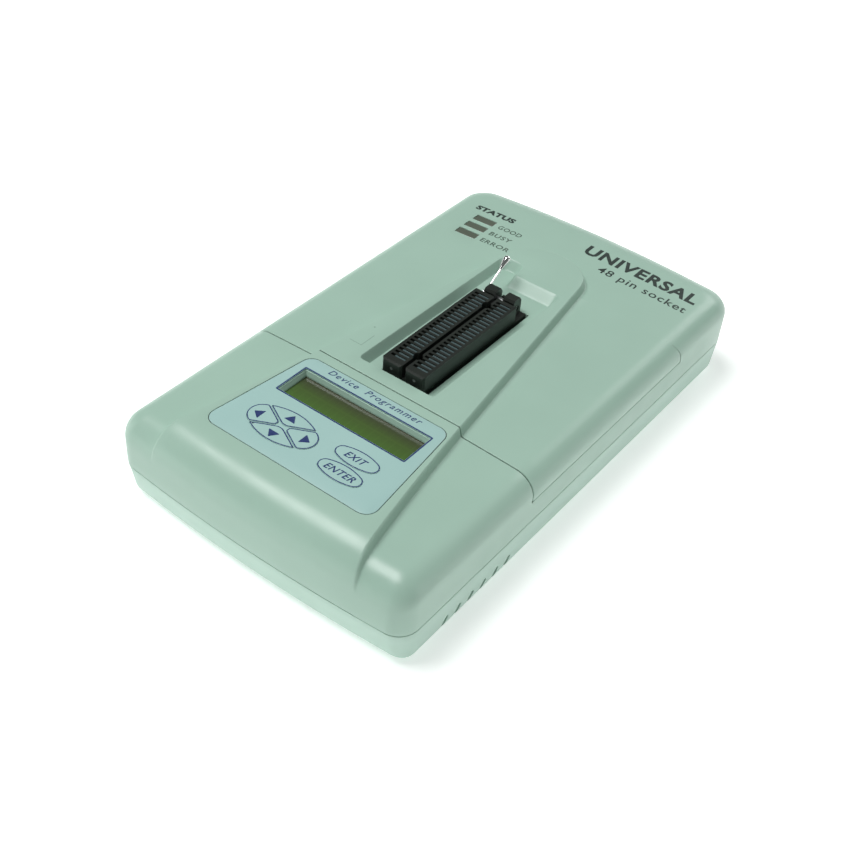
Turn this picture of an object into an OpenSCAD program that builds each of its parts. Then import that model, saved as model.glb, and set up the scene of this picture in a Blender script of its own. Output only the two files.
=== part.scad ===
// Desktop device programmer with a socket deck, a lever socket, a display and a key label.
// Millimetres. Origin at the centre of the footprint on the resting surface.
// X to the right, Y to the rear, Z up. Heights named *_h are above the case parting line.

/* [Case] */
// Overall width at the parting line
case_w = 147.0; // [120:0.5:180]
// Overall length at the parting line
case_l = 253.8; // [200:0.5:300]
// Height of the rubber feet
foot_h = 2.5; // [1:0.1:6]
// Height of the bottom tray from its underside to the parting line
base_h = 16.0; // [10:0.5:30]
// Wall thickness of the mouldings
wall = 2.2; // [1.5:0.1:4]
// Bow of the front edge between its corners
front_bow = 2.5; // [0:0.1:6]
// Bow of the rear edge between its corners
rear_bow = 1.3; // [0:0.1:6]
// Plan radius of the front corners
front_r = 9.5; // [5:0.5:20]
// Plan radius of the rear corners
rear_r = 14.5; // [5:0.5:25]
// Height of the crowned top at the centre line
crown_h = 25.0; // [18:0.1:35]
// Height of the top at the side fillets
shoulder_h = 23.5; // [16:0.1:34]
// Radius of the long side fillets
side_fillet = 9.5; // [3:0.5:14]
// Radius of the rolled front edge of the low top
roll_r = 12.5; // [6:0.5:18]
// Radius of the rear edge of the top
rear_fillet = 8.0; // [3:0.5:14]

/* [Island and deck] */
// Height of the raised display island and socket plateau
island_h = 28.9; // [24:0.1:36]
// Radius of the island front roll
island_roll = 15.0; // [8:0.5:20]
// Half width of the island at the front edge
island_front_hw = 51.5; // [40:0.5:60]
// Half width of the island at the seam
island_seam_hw = 37.0; // [30:0.5:45]
// Half width of the plateau where its end arc starts
plateau_rear_hw = 21.0; // [14:0.5:30]
// Y of the start of the plateau end arc
plateau_rear_y = 76.0; // [60:0.5:95]
// Y of the rearmost point of the plateau
plateau_end_y = 86.6; // [70:0.5:110]
// Y of the seam in front of the socket deck
seam_y = -44.1; // [-60:0.1:-30]
// Height of the side ledge that carries the deck
ledge_h = 11.7; // [6:0.1:18]
// Y of the rear end of the side ledge
ledge_end_y = 73.0; // [50:0.5:95]
// Gap between neighbouring mouldings
joint_gap = 0.15; // [0.05:0.05:0.5]

/* [Socket pocket] */
// Height of the pocket floor
pocket_floor_h = 24.6; // [20:0.1:28]
// Left side of the pocket
pocket_x0 = -20.5; // [-30:0.5:-15]
// Right side of the pocket
pocket_x1 = 17.3; // [14:0.1:30]
// Front of the pocket
pocket_y0 = -36.8; // [-42:0.1:-36]
// Rear of the pocket
pocket_y1 = 56.0; // [45:0.5:70]
// Half width of the opening in the pocket floor
well_hw = 12.2; // [11.5:0.1:15]
// Front edge of the opening in the pocket floor
well_y0 = -35.3; // [-36:0.1:-35]
// Rear edge of the opening in the pocket floor
well_y1 = 40.6; // [40:0.1:44]
// Rear end of the lever relief
relief_y1 = 66.0; // [58:0.5:72]

/* [Lever socket] */
// Contact pitch
pitch = 2.54; // [1.27:0.01:2.54]
// Contact positions in each row
rows = 24; // [8:1:32]
// Overall width of the socket
zif_w = 21.9; // [15:0.1:30]
// Width of the groove between the two bars
groove_w = 1.7; // [1:0.1:4]
// Height of the top of the sliding bars
slide_top_h = 33.1; // [28:0.1:40]
// Height of the underside of the sliding bars
slide_bot_h = 25.1; // [24:0.1:27]
// Front end of the sliding bars
slide_y0 = -34.4; // [-38:0.1:-32]
// Rear end of the sliding bars
slide_y1 = 32.2; // [30:0.1:36]
// Y of the first contact
contact_y0 = -29.8; // [-32:0.1:-28]
// Y of the lever pivot
pivot_y = 36.5; // [34:0.1:39]
// Height of the lever pivot
pivot_h = 28.4; // [26:0.1:31]
// Lever angle above horizontal as modelled
lever_a = 33.6; // [0:0.1:90]
// Lever length from its pivot to the knob tip
lever_len = 19.5; // [12:0.1:30]
// Radius of the lever wire
lever_r = 0.6; // [0.4:0.05:1.2]
// X of the lever wire
lever_x = -9.3; // [-10.5:0.1:-8.8]
// Throw of the cam disc
cam_e = 0.57; // [0.2:0.01:1]

/* [Display and keys] */
// Half width of the display window
lcd_hw = 31.95; // [25:0.05:40]
// Front edge of the display window
lcd_y0 = -73.6; // [-80:0.1:-68]
// Rear edge of the display window
lcd_y1 = -57.2; // [-62:0.1:-50]
// Thickness of the label sheet
label_t = 0.5; // [0.2:0.1:1]
// Half width of the label at its rear edge
label_rear_hw = 35.1; // [30:0.1:40]
// Half width of the label at its front edge
label_front_hw = 41.4; // [34:0.1:48]
// Rear edge of the label
label_y1 = -49.5; // [-54:0.1:-46]
// Front edge of the label
label_y0 = -106.2; // [-110:0.1:-98]
// Corner radius of the label
label_r = 5.0; // [1:0.5:8]
// Height of a key above the label
key_proud = 0.25; // [0.1:0.1:1.5]
// Travel of a key
key_travel = 0.4; // [0.2:0.1:1]
// Gap round a key
key_gap = 0.3; // [0.15:0.05:0.6]

/* [Rear panel] */
// Half width of the rear panel opening
panel_hw = 44.0; // [30:0.5:55]
// X of the data socket
usb_x = -22.0; // [-35:0.5:-10]
// X of the power inlet
dc_x = 0.0; // [-10:0.5:14]
// X of the rocker switch
rocker_x = 26.0; // [18:0.5:32]

/* [Hidden] */
zp = foot_h + base_h;
hw = case_w / 2;
hl = case_l / 2;
chord_f = hw - front_r;
chord_r = hw - rear_r;
bow_rf = (chord_f * chord_f + front_bow * front_bow) / (2 * front_bow);
bow_rr = (chord_r * chord_r + rear_bow * rear_bow) / (2 * rear_bow);
crown_c = hw - side_fillet;
crown_rise = crown_h - shoulder_h;
crown_r = (crown_c * crown_c + crown_rise * crown_rise) / (2 * crown_rise);
arc_rise = plateau_end_y - plateau_rear_y;
arc_r = (plateau_rear_hw * plateau_rear_hw + arc_rise * arc_rise) / (2 * arc_rise);
lathe_len = 262;
skin_eps = 0.1;
base_in_x = 1.2;
base_in_y = 3.5;
base_edge = 2.2;
floor_z = foot_h + wall;
board_z = floor_z + 5;
board_t = 1.6;
lcd_cy = (lcd_y0 + lcd_y1) / 2;
lcd_top_h = island_h - wall - 0.3;
lcd_frame_t = 5.2;
lcd_board_h = lcd_top_h - lcd_frame_t - board_t;
key_board_h = 19.3;
socket_board_h = 17.4;
arrow_c = [-15.1, -90.3];
arrow_a = 15.0;
arrow_b = 6.9;
arrow_split = 1.1;
oval_a = 8.8;
oval_b = 3.8;
exit_c = [18.7, -86.1];
enter_c = [18.7, -94.5];
stem_r = 1.5;
key_sink = 0.9;
contact_dx = -3.3;
contact_dy = 0.1;
led_c = [[-48.2, 91.3], [-48.2, 84.0], [-48.2, 76.6]];
led_w = 11.5;
led_l = 4.6;
deck_boss = [[-62, -28], [62, -28], [-62, 52], [62, 52]];
shell_boss = [[-61, -100], [61, -100], [-56, 106], [56, 106]];
board_post = [[-52, -22], [52, -22], [-52, 98], [52, 98]];
socket_post = [[-26, -38], [26, -38], [-26, 44], [26, 44]];
foot_c = [[-60, -84], [60, -84], [-60, 86], [60, 86]];
vent_n = 6;
vent_y0 = -96.8;
vent_pitch = 8.1;
panel_y = hl - wall - 4.2;
panel_t = 2.0;
usb_w = 12.0;
usb_hh = 11.0;
usb_z = board_z + board_t;
dc_z = board_z + board_t;
rocker_z = 20.0;
rocker_py = panel_y - 1.2;
$fn = 48;

// ---------- plan and section shapes ----------

module plan2d(w) {
  yf = -hl + front_bow + w - skin_eps;
  yr = hl - rear_bow - w + skin_eps;
  rf = front_r - w;
  rr = rear_r - w;
  translate([-hw + w, yf + rf]) square([2 * (hw - w), yr - rr - yf - rf]);
  translate([-chord_f, -hl - 2]) square([2 * chord_f, 22]);
  translate([-chord_r, hl - 20]) square([2 * chord_r, 22]);
  for (s = [-1, 1]) {
    translate([s * chord_f, yf + rf]) circle(r = rf);
    translate([s * chord_r, yr - rr]) circle(r = rr);
  }
}

module side2d(w) {
  translate([-hw + w, -4]) square([2 * (hw - w), shoulder_h - side_fillet + 4]);
  translate([-crown_c, -4]) square([2 * crown_c, shoulder_h + 4 - w]);
  for (s = [-1, 1]) translate([s * crown_c, shoulder_h - side_fillet]) circle(r = side_fillet - w);
  intersection() {
    translate([0, crown_h - crown_r]) circle(r = crown_r - w);
    translate([-crown_c, shoulder_h - 6]) square([2 * crown_c, 10]);
  }
}

module roll2d(rb, r, top, w) {
  translate([rb - lathe_len, -4]) square([lathe_len - w, top - r + 4]);
  translate([rb - lathe_len, -4]) square([lathe_len - r, top + 4 - w]);
  translate([rb - r, top - r]) circle(r = r - w);
}

module front_roll(r, top, w) {
  translate([0, -hl + bow_rf, 0]) rotate_extrude($fn = 96) roll2d(bow_rf, r, top, w);
}

module rear_roll(r, top, w) {
  translate([0, hl - bow_rr, 0]) rotate_extrude($fn = 96) roll2d(bow_rr, r, top, w);
}

module low_top(w) {
  intersection() {
    translate([0, 0, -3]) linear_extrude(40) plan2d(w);
    translate([0, hl + 5, 0]) rotate([90, 0, 0]) linear_extrude(case_l + 10) side2d(w);
    front_roll(roll_r, crown_h, w);
    rear_roll(rear_fillet, crown_h, w);
  }
}

module island_plan(w) {
  polygon([
    [-island_front_hw - 2 + w, -hl - 12], [island_front_hw + 2 - w, -hl - 12],
    [island_seam_hw - w, seam_y], [plateau_rear_hw - w, plateau_rear_y],
    [-plateau_rear_hw + w, plateau_rear_y], [-island_seam_hw + w, seam_y]
  ]);
  intersection() {
    translate([0, plateau_end_y - arc_r]) circle(r = arc_r - w);
    translate([-plateau_rear_hw + w, plateau_rear_y - 2]) square([2 * (plateau_rear_hw - w), 20]);
  }
}

module island(w) {
  intersection() {
    translate([0, 0, -3]) linear_extrude(island_h + 3 - w) island_plan(w);
    front_roll(island_roll, island_h, w);
    translate([0, 0, -3]) linear_extrude(40) plan2d(w);
  }
}

module top_outer() {
  low_top(0);
  island(0);
}

module top_inner() {
  low_top(wall);
  island(wall);
}

module deck_region(g) {
  translate([hw + 5, 0, 0]) rotate([0, -90, 0]) linear_extrude(case_w + 10) {
    translate([ledge_h - g, seam_y - g]) square([30, ledge_end_y - 10 - seam_y + g]);
    intersection() {
      translate([15.5, ledge_end_y - 10]) circle(r = 10 + g);
      translate([ledge_h - g, seam_y]) square([30, 200]);
    }
  }
  translate([0, 0, ledge_h - g]) linear_extrude(30) intersection() {
    island_plan(-g);
    translate([-60, seam_y - g]) square([120, 200]);
  }
}

// ---------- case ----------

module corner_trim(c, s, rt, rb, w) {
  difference() {
    translate([s[0] > 0 ? c[0] : c[0] - 16, s[1] > 0 ? c[1] : c[1] - 16, -base_h - 2]) cube([16, 16, base_h + 2]);
    translate([c[0], c[1], -base_h - 2.1]) cylinder(r = rb - w - base_edge, h = 2.2);
    translate([c[0], c[1], -base_h]) cylinder(r1 = rb - w - base_edge, r2 = rb - w, h = base_edge);
    translate([c[0], c[1], -base_h + base_edge]) cylinder(r1 = rb - w, r2 = rt - w, h = base_h - base_edge + 0.01);
  }
}

module base_block(w) {
  difference() {
    base_prism(w);
    for (s = [-1, 1]) {
      corner_trim([s * chord_f, -hl + front_bow + front_r - skin_eps], [s, -1], front_r, front_r - 2.2, w);
      corner_trim([s * chord_r, hl - rear_bow - rear_r + skin_eps], [s, 1], rear_r, rear_r - 1.2, w);
    }
  }
}

module base_prism(w) {
  intersection() {
    translate([0, 0, -base_h - 1]) linear_extrude(base_h + 1) plan2d(w);
    translate([0, hl + 5, 0]) rotate([90, 0, 0]) linear_extrude(case_l + 10) polygon([
      [-hw + w, 0.01], [-hw + w + base_in_x, -base_h + base_edge],
      [-hw + w + base_in_x + base_edge, -base_h + w], [hw - w - base_in_x - base_edge, -base_h + w],
      [hw - w - base_in_x, -base_h + base_edge], [hw - w, 0.01]
    ]);
    translate([0, -hl + bow_rf, 0]) rotate_extrude($fn = 96) polygon([
      [bow_rf - lathe_len, 0.01], [bow_rf - w, 0.01],
      [bow_rf - w - base_in_y, -base_h + base_edge],
      [bow_rf - w - base_in_y - base_edge, -base_h + w], [bow_rf - lathe_len, -base_h + w]
    ]);
    translate([0, hl - bow_rr, 0]) rotate_extrude($fn = 96) polygon([
      [bow_rr - lathe_len, 0.01], [bow_rr - w, 0.01],
      [bow_rr - w - base_in_x, -base_h + base_edge],
      [bow_rr - w - base_in_x - base_edge, -base_h + w], [bow_rr - lathe_len, -base_h + w]
    ]);
  }
}

module vent_cuts() {
  for (i = [0:vent_n - 1], s = [-1, 1])
    translate([s * hw, vent_y0 + i * vent_pitch, -12.6]) rotate([-31, 0, 0])
      translate([-5, -1, -3.0]) cube([10, 2, 6.0]);
}

module screw_path(p) {
  translate([p[0], p[1], 0]) cylinder(r = 1.8, h = zp + 1);
  translate([p[0], p[1], 0]) cylinder(r = 3.4, h = floor_z + 2.0);
}

module base_tray() color([0.77, 0.86, 0.81]) {
  difference() {
    union() {
      translate([0, 0, zp]) difference() {
        base_block(0);
        base_block(wall);
        vent_cuts();
      }
      for (p = concat(deck_boss, shell_boss)) translate([p[0], p[1], foot_h + 1]) {
        cylinder(r = 4.6, h = 6);
        cylinder(r = 3.8, h = base_h - 1.1);
      }
      for (p = board_post) translate([p[0], p[1], foot_h + 1]) cylinder(r = 3.5, h = board_z - foot_h - 1);
      for (s = [-1, 1], y = [panel_y - 2.2, panel_y + panel_t + 0.2]) translate([s * 47 - 2.5, y, foot_h + 1]) cube([5, 2, 12]);
    }
    for (p = concat(deck_boss, shell_boss)) screw_path(p);
    for (p = board_post) translate([p[0], p[1], floor_z]) cylinder(r = 1.3, h = 8);
    for (p = foot_c) translate([p[0], p[1], foot_h - 1]) cylinder(r = 7.1, h = 1.9);
    translate([-panel_hw, hl - 12, 9.5]) cube([2 * panel_hw, 20, 20]);
  }
}

module shell_posts() {
  for (p = shell_boss) translate([p[0], p[1], 0]) cylinder(r = 3.8, h = 24);
  for (x = [-35.3, 35.3], y = [-81.2, -51.0]) translate([x, y, lcd_board_h + board_t]) cylinder(r = 2.2, h = 9);
  for (p = [[-38, -100.5], [38, -100.5], [3.0, -100.5]])
    translate([p[0], p[1], key_board_h + board_t]) cylinder(r = 2.4, h = 9);
  for (y = [80.3, 87.65]) translate([led_c[0][0], y, 17]) cylinder(r = 1.2, h = 7);
}

module upper_shell() color([0.62, 0.72, 0.66]) translate([0, 0, zp]) {
  difference() {
    union() {
      difference() {
        top_outer();
        top_inner();
        translate([-hw - 5, -hl - 5, -5]) cube([case_w + 10, case_l + 10, 5]);
      }
      intersection() {
        top_outer();
        shell_posts();
      }
    }
    deck_region(joint_gap);
    translate([0, 0, island_h - label_t]) linear_extrude(3) label2d(0.1);
    translate([-lcd_hw, lcd_y0, 20]) cube([2 * lcd_hw, lcd_y1 - lcd_y0, 12]);
    translate([0, 0, island_h - label_t - key_sink]) linear_extrude(3) keys2d(key_gap);
    for (c = stem_c()) translate([c[0], c[1], 20]) cylinder(r = stem_r + 0.3, h = 12);
    for (c = led_c) translate([c[0] - led_w / 2 - 0.1, c[1] - led_l / 2 - 0.1, 15]) cube([led_w + 0.2, led_l + 0.2, 14]);
    for (p = shell_boss) translate([p[0], p[1], -1]) cylinder(r = 1.25, h = 13);
    for (x = [-35.3, 35.3], y = [-81.2, -51.0]) translate([x, y, lcd_board_h]) cylinder(r = 0.9, h = 5.5);
    for (p = [[-38, -100.5], [38, -100.5], [3.0, -100.5]]) translate([p[0], p[1], key_board_h]) cylinder(r = 0.9, h = 5.5);
    translate([-panel_hw, hl - 12, -5]) cube([2 * panel_hw, 20, 17.5]);
  }
}

module deck_cover() color([0.60, 0.70, 0.65]) translate([0, 0, zp]) {
  difference() {
    union() {
      intersection() {
        difference() {
          top_outer();
          top_inner();
        }
        deck_region(0);
      }
      for (p = deck_boss) translate([p[0], p[1], 0]) cylinder(r = 3.8, h = shoulder_h - 1);
      translate([pocket_x0 - 1.8, pocket_y0 - 1.8, pocket_floor_h - 2])
        cube([pocket_x1 - pocket_x0 + 3.6, pocket_y1 - pocket_y0 + 3.6, island_h - pocket_floor_h + 1]);
      translate([-19.8, pocket_y1, pocket_floor_h - 2]) cube([15.6, relief_y1 - pocket_y1 + 1.8, island_h - pocket_floor_h + 1]);
    }
    translate([pocket_x0, pocket_y0, pocket_floor_h]) cube([pocket_x1 - pocket_x0, pocket_y1 - pocket_y0, 20]);
    relief();
    translate([-well_hw, well_y0, 10]) cube([2 * well_hw, well_y1 - well_y0, 20]);
    for (p = deck_boss) translate([p[0], p[1], -1]) cylinder(r = 1.25, h = 13);
  }
}

module relief() {
  translate([-18, pocket_y1 - 1, pocket_floor_h]) cube([12, relief_y1 - pocket_y1 - 4, 20]);
  intersection() {
    translate([-12, relief_y1 - 6, pocket_floor_h]) cylinder(r = 6, h = 20);
    translate([-18, relief_y1 - 6, pocket_floor_h]) cube([12, 6, 20]);
  }
}

module rear_panel() color([0.55, 0.62, 0.58]) {
  difference() {
    translate([-panel_hw - 2, panel_y, 7]) cube([2 * panel_hw + 4, panel_t, 26]);
    translate([usb_x - usb_w / 2 - 0.2, panel_y - 1, usb_z - 0.2]) cube([usb_w + 0.4, 5, usb_hh + 0.4]);
    translate([dc_x - 4.7, panel_y - 1, dc_z - 0.2]) cube([9.4, 5, 11.4]);
    translate([rocker_x - 9.6, panel_y - 1, rocker_z - 6.5]) cube([19.2, 5, 13]);
  }
}

module rubber_feet() color([0.10, 0.10, 0.11]) {
  for (p = foot_c) translate([p[0], p[1], 0]) {
    cylinder(r = 7, h = foot_h + 0.9);
  }
}

module case_screws() color([0.62, 0.63, 0.65]) {
  for (p = concat(deck_boss, shell_boss)) translate([p[0], p[1], floor_z]) {
    difference() {
      cylinder(r = 2.9, h = 2.0);
      translate([-0.4, -1.7, -0.1]) cube([0.8, 3.4, 1.1]);
      translate([-1.7, -0.4, -0.1]) cube([3.4, 0.8, 1.1]);
    }
    translate([0, 0, 1.9]) cylinder(r = 1.2, h = 22);
  }
}

// ---------- label, keys and display ----------

function arc_pts(c, r, a0, a1, n) = [for (i = [0:n]) [c[0] + r * cos(a0 + (a1 - a0) * i / n), c[1] + r * sin(a0 + (a1 - a0) * i / n)]];

function slope_a() = atan((label_front_hw - label_rear_hw) / (label_y1 - label_y0));

module label2d(g) {
  a = slope_a();
  r = label_r;
  xf = label_front_hw + g;
  xr = label_rear_hw + g;
  y0 = label_y0 - g;
  y1 = label_y1 + g;
  cf = [xf - r * (1 / cos(a) + tan(a)), y0 + r];
  cr = [xr - r * (1 / cos(a) - tan(a)), y1 - r];
  polygon(concat(
    arc_pts([cf[0], cf[1]], r, -90, a, 7), arc_pts([cr[0], cr[1]], r, a, 90, 7),
    arc_pts([-cr[0], cr[1]], r, 90, 180 - a, 7), arc_pts([-cf[0], cf[1]], r, 180 - a, 270, 7)
  ));
}

module oval2d(a, b, r) {
  big = ((a - r) * (a - r) + b * b - r * r) / (2 * (b - r));
  t = atan((a - r) / (big - b));
  polygon(concat(
    arc_pts([0, b - big], big, 90 - t, 90 + t, 10), arc_pts([r - a, 0], r, 96 + t, 264 - t, 5),
    arc_pts([0, big - b], big, 270 - t, 270 + t, 10), arc_pts([a - r, 0], r, -84 + t, 84 - t, 5)
  ));
}

module wedge2d(a, half, g) {
  d = (arrow_split / 2 - g) / sin(half);
  rotate(a) polygon([[d, 0], [d + 40 * cos(half), 40 * sin(half)], [d + 40 * cos(half), -40 * sin(half)]]);
}

module arrow_key2d(dir, g) {
  tall = (dir == 1 || dir == 3);
  translate(arrow_c) difference() {
    intersection() {
      oval2d(arrow_a + g, arrow_b + g, 4.6 + g);
      wedge2d(dir * 90, tall ? 63 : 27, g);
    }
    circle(r = 1.9 - g);
  }
}

module oval_key2d(c, g) {
  translate(c) oval2d(oval_a + g, oval_b + g, 2.9 + g);
}

module keys2d(g) {
  for (d = [0:3]) arrow_key2d(d, g);
  oval_key2d(exit_c, g);
  oval_key2d(enter_c, g);
}

function key_c(d) = d == 0 ? [arrow_c[0] + 9.6, arrow_c[1]] : d == 2 ? [arrow_c[0] - 9.6, arrow_c[1]]
  : d == 1 ? [arrow_c[0], arrow_c[1] + 3.9] : [arrow_c[0], arrow_c[1] - 3.9];

function stem_c() = [key_c(0), key_c(1), key_c(2), key_c(3), exit_c, enter_c];

module key_body(c) {
  translate([0, 0, zp + island_h + key_proud - 1.0]) linear_extrude(1.0) children();
  translate([c[0], c[1], zp + 25.4]) cylinder(r = stem_r, h = island_h - 25.4);
}

module key_label() color([0.60, 0.73, 0.72]) {
  translate([0, 0, zp + island_h - label_t]) linear_extrude(label_t) difference() {
    label2d(0);
    translate([-lcd_hw, lcd_y0]) square([2 * lcd_hw, lcd_y1 - lcd_y0]);
    keys2d(key_gap);
  }
}

module key_up() color([0.68, 0.80, 0.78]) key_body(key_c(1)) arrow_key2d(1, 0);
module key_down() color([0.68, 0.80, 0.78]) key_body(key_c(3)) arrow_key2d(3, 0);
module key_left() color([0.68, 0.80, 0.78]) key_body(key_c(2)) arrow_key2d(2, 0);
module key_right() color([0.68, 0.80, 0.78]) key_body(key_c(0)) arrow_key2d(0, 0);
module key_exit() color([0.68, 0.80, 0.78]) key_body(exit_c) oval_key2d(exit_c, 0);
module key_enter() color([0.68, 0.80, 0.78]) key_body(enter_c) oval_key2d(enter_c, 0);

module display_glass() color([0.30, 0.40, 0.24]) {
  translate([-lcd_hw - 0.8, lcd_y0 - 0.8, zp + lcd_top_h - 2.0]) cube([2 * lcd_hw + 1.6, lcd_y1 - lcd_y0 + 1.6, 1.1]);
}

module display_frame() color([0.12, 0.12, 0.13]) {
  difference() {
    translate([-34, lcd_cy - 12.6, zp + lcd_top_h - lcd_frame_t]) cube([68, 25.2, lcd_frame_t]);
    translate([-lcd_hw - 0.8, lcd_y0 - 0.8, zp + lcd_top_h - lcd_frame_t - 1])
      cube([2 * lcd_hw + 1.6, lcd_y1 - lcd_y0 + 1.6, lcd_frame_t + 0.1]);
    translate([-lcd_hw, lcd_y0, zp + lcd_top_h - 2]) cube([2 * lcd_hw, lcd_y1 - lcd_y0, 4]);
  }
}

module display_board() color([0.10, 0.32, 0.20]) {
  difference() {
    translate([-38, lcd_cy - 17.9, zp + lcd_board_h]) cube([76, 35.0, board_t]);
    for (x = [-35.3, 35.3], y = [-81.2, -51.0]) translate([x, y, zp + lcd_board_h - 1]) cylinder(r = 1.2, h = 4);
  }
}

module key_board() color([0.12, 0.35, 0.22]) {
  difference() {
    translate([-41, -104.0, zp + key_board_h]) cube([82, 19.8, board_t]);
    for (p = [[-38, -100.5], [38, -100.5], [3.0, -100.5]]) translate([p[0], p[1], zp + key_board_h - 1]) cylinder(r = 1.2, h = 4);
  }
}

module key_switches() color([0.16, 0.16, 0.17]) {
  for (c = stem_c()) translate([c[0], c[1], zp + key_board_h + board_t]) {
    translate([-2.6, -2.6, 0]) cube([5.2, 5.2, 3.4]);
    cylinder(r = 1.6, h = 4.0);
  }
}

module display_screws() color([0.70, 0.71, 0.72]) {
  for (x = [-35.3, 35.3], y = [-81.2, -51.0]) translate([x, y, zp + lcd_board_h - 1.4]) {
    cylinder(r = 2.0, h = 1.4);
    cylinder(r = 0.85, h = 6.6);
  }
  for (p = [[-38, -100.5], [38, -100.5], [3.0, -100.5]]) translate([p[0], p[1], zp + key_board_h - 1.4]) {
    cylinder(r = 2.0, h = 1.4);
    cylinder(r = 0.85, h = 6.6);
  }
}

// ---------- status lights ----------

module lens(i) {
  translate([led_c[i][0] - led_w / 2, led_c[i][1] - led_l / 2, zp + 20.0]) cube([led_w, led_l, 4.2]);
}

module lens_good() color([0.24, 0.30, 0.20]) lens(0);
module lens_busy() color([0.24, 0.30, 0.20]) lens(1);
module lens_error() color([0.24, 0.30, 0.20]) lens(2);

module status_board() color([0.10, 0.32, 0.20]) {
  translate([-57, 72.6, zp + 15.4]) cube([17.6, 22.6, 1.6]);
}

module status_leds() color([0.75, 0.78, 0.70]) {
  for (c = led_c) translate([c[0], c[1], zp + 17.0]) {
    for (s = [-1, 1]) translate([s * 3 - 1.3, -1.3, 0]) cube([2.6, 2.6, 2.0]);
  }
}

// ---------- lever socket ----------

module socket_base() color([0.10, 0.10, 0.105]) translate([0, 0, zp]) {
  difference() {
    union() {
      translate([-zif_w / 2, slide_y0 + 0.4, socket_board_h + board_t]) cube([zif_w, 74.0, slide_bot_h - 0.2 - socket_board_h - board_t]);
      for (s = [-1, 1]) translate([s * 5.1, 0, 0]) socket_cheek();
    }
    for (x = [-5.3, 6.27], i = [0:rows - 1])
      translate([x + contact_dx - 0.6, contact_y0 + contact_dy + i * pitch - 0.3, 20.5]) cube([1.2, 0.6, 10]);
    for (y = [-24.4, 24.0]) translate([0, y, 20.5]) cylinder(r = 0.65, h = 8, $fn = 24);
    translate([-14, pivot_y, pivot_h]) rotate([0, 90, 0]) cylinder(r = 1.45, h = 28, $fn = 32);
  }
}

module socket_cheek() {
  rotate([90, 0, 90]) translate([0, 0, -2.9]) linear_extrude(5.8)
    polygon([[33.6, 20], [33.6, 32.2], [34.4, 33.4], [38.4, 33.4], [39.6, 31.6], [39.6, 20]]);
}

module socket_slide() color([0.11, 0.11, 0.115]) translate([0, 0, zp]) {
  bar_w = (zif_w - groove_w) / 2;
  difference() {
    union() {
      for (s = [-1, 1]) translate([s * (groove_w + bar_w) / 2, 0, 0]) slide_bar(bar_w);
      translate([-2, slide_y0 + 1, slide_bot_h]) cube([4, slide_y1 - slide_y0 - 2, 1.6]);
    }
    for (x = [-5.3, 6.27], i = [0:rows - 1])
      translate([x - 4.2, contact_y0 + i * pitch - 0.7, slide_bot_h - 1]) {
        cube([1.8, 1.4, 12]);
        translate([0, 0, 6.6]) cube([7.4, 1.4, 6]);
      }
    for (y = [-24.4, 24.0]) {
      translate([0, y, slide_bot_h + 1.6]) cylinder(r = 2.3, h = 12, $fn = 32);
      translate([-0.9, y - 1.6, slide_bot_h - 1]) cube([1.8, 3.2, 4]);
    }
    for (x = [-5.95, 5.95]) translate([x, slide_y0 - 0.1, slide_top_h - 3.6]) rotate([-90, 0, 0]) cylinder(r = 0.8, h = 0.9, $fn = 24);
  }
  fork();
}

module slide_bar(bw) {
  c = 0.9;
  intersection() {
    translate([-bw / 2, slide_y0, slide_bot_h]) cube([bw, slide_y1 - slide_y0, slide_top_h - slide_bot_h]);
    translate([0, 0, slide_bot_h - 1]) linear_extrude(20) polygon([
      [-bw / 2, slide_y0 + c], [-bw / 2 + c, slide_y0], [bw / 2 - c, slide_y0], [bw / 2, slide_y0 + c],
      [bw / 2, slide_y1 - c], [bw / 2 - c, slide_y1], [-bw / 2 + c, slide_y1], [-bw / 2, slide_y1 - c]
    ]);
    rotate([90, 0, 90]) translate([0, 0, -10]) linear_extrude(20) polygon([
      [slide_y0, slide_bot_h], [slide_y0, slide_top_h - 0.7], [slide_y0 + 0.7, slide_top_h],
      [slide_y1 - 0.7, slide_top_h], [slide_y1, slide_top_h - 0.7], [slide_y1, slide_bot_h]
    ]);
  }
}

module fork() {
  cy = pivot_y - 0.198 * cam_e;
  translate([-1.5, slide_y1 - 3, slide_bot_h]) cube([3, 7.4 + 3, 0.5]);
  translate([-1.5, slide_y1 - 3, slide_bot_h]) cube([3, cy - 2.1 - slide_y1 + 3, 4.6]);
  translate([-1.5, cy + 2.1, slide_bot_h]) cube([3, 1.2, 4.6]);
}

module socket_contacts() color([0.72, 0.74, 0.74]) translate([0, 0, zp]) {
  for (x = [-5.3, 6.27], i = [0:rows - 1])
    translate([x + contact_dx - 0.4, contact_y0 + contact_dy + i * pitch - 0.17, 20.6]) cube([0.8, 0.34, 9.4]);
}

module socket_pins() color([0.30, 0.30, 0.31]) translate([0, 0, zp]) {
  for (y = [-24.4, 24.0]) translate([0, y, 0]) {
    translate([0, 0, 20.6]) cylinder(r = 0.6, h = 6.8, $fn = 24);
    translate([0, 0, slide_bot_h + 1.8]) cylinder(r = 1.5, h = 0.9, $fn = 24);
  }
}

module socket_dimples() color([0.45, 0.48, 0.46]) translate([0, 0, zp]) {
  for (x = [-5.95, 5.95]) translate([x, slide_y0 + 0.1, slide_top_h - 3.6]) rotate([-90, 0, 0]) cylinder(r = 0.75, h = 0.7, $fn = 24);
}

module cam_shaft() color([0.70, 0.71, 0.72]) translate([0, pivot_y, zp + pivot_h]) {
  rotate([0, 90, 0]) {
    translate([0, 0, lever_x - 0.9]) cylinder(r = 1.4, h = 7.4 - lever_x + 0.9, $fn = 32);
  }
  translate([-1.2, -0.198 * cam_e, -0.98 * cam_e]) rotate([0, 90, 0]) cylinder(r = 2.0, h = 2.4, $fn = 32);
}

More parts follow.
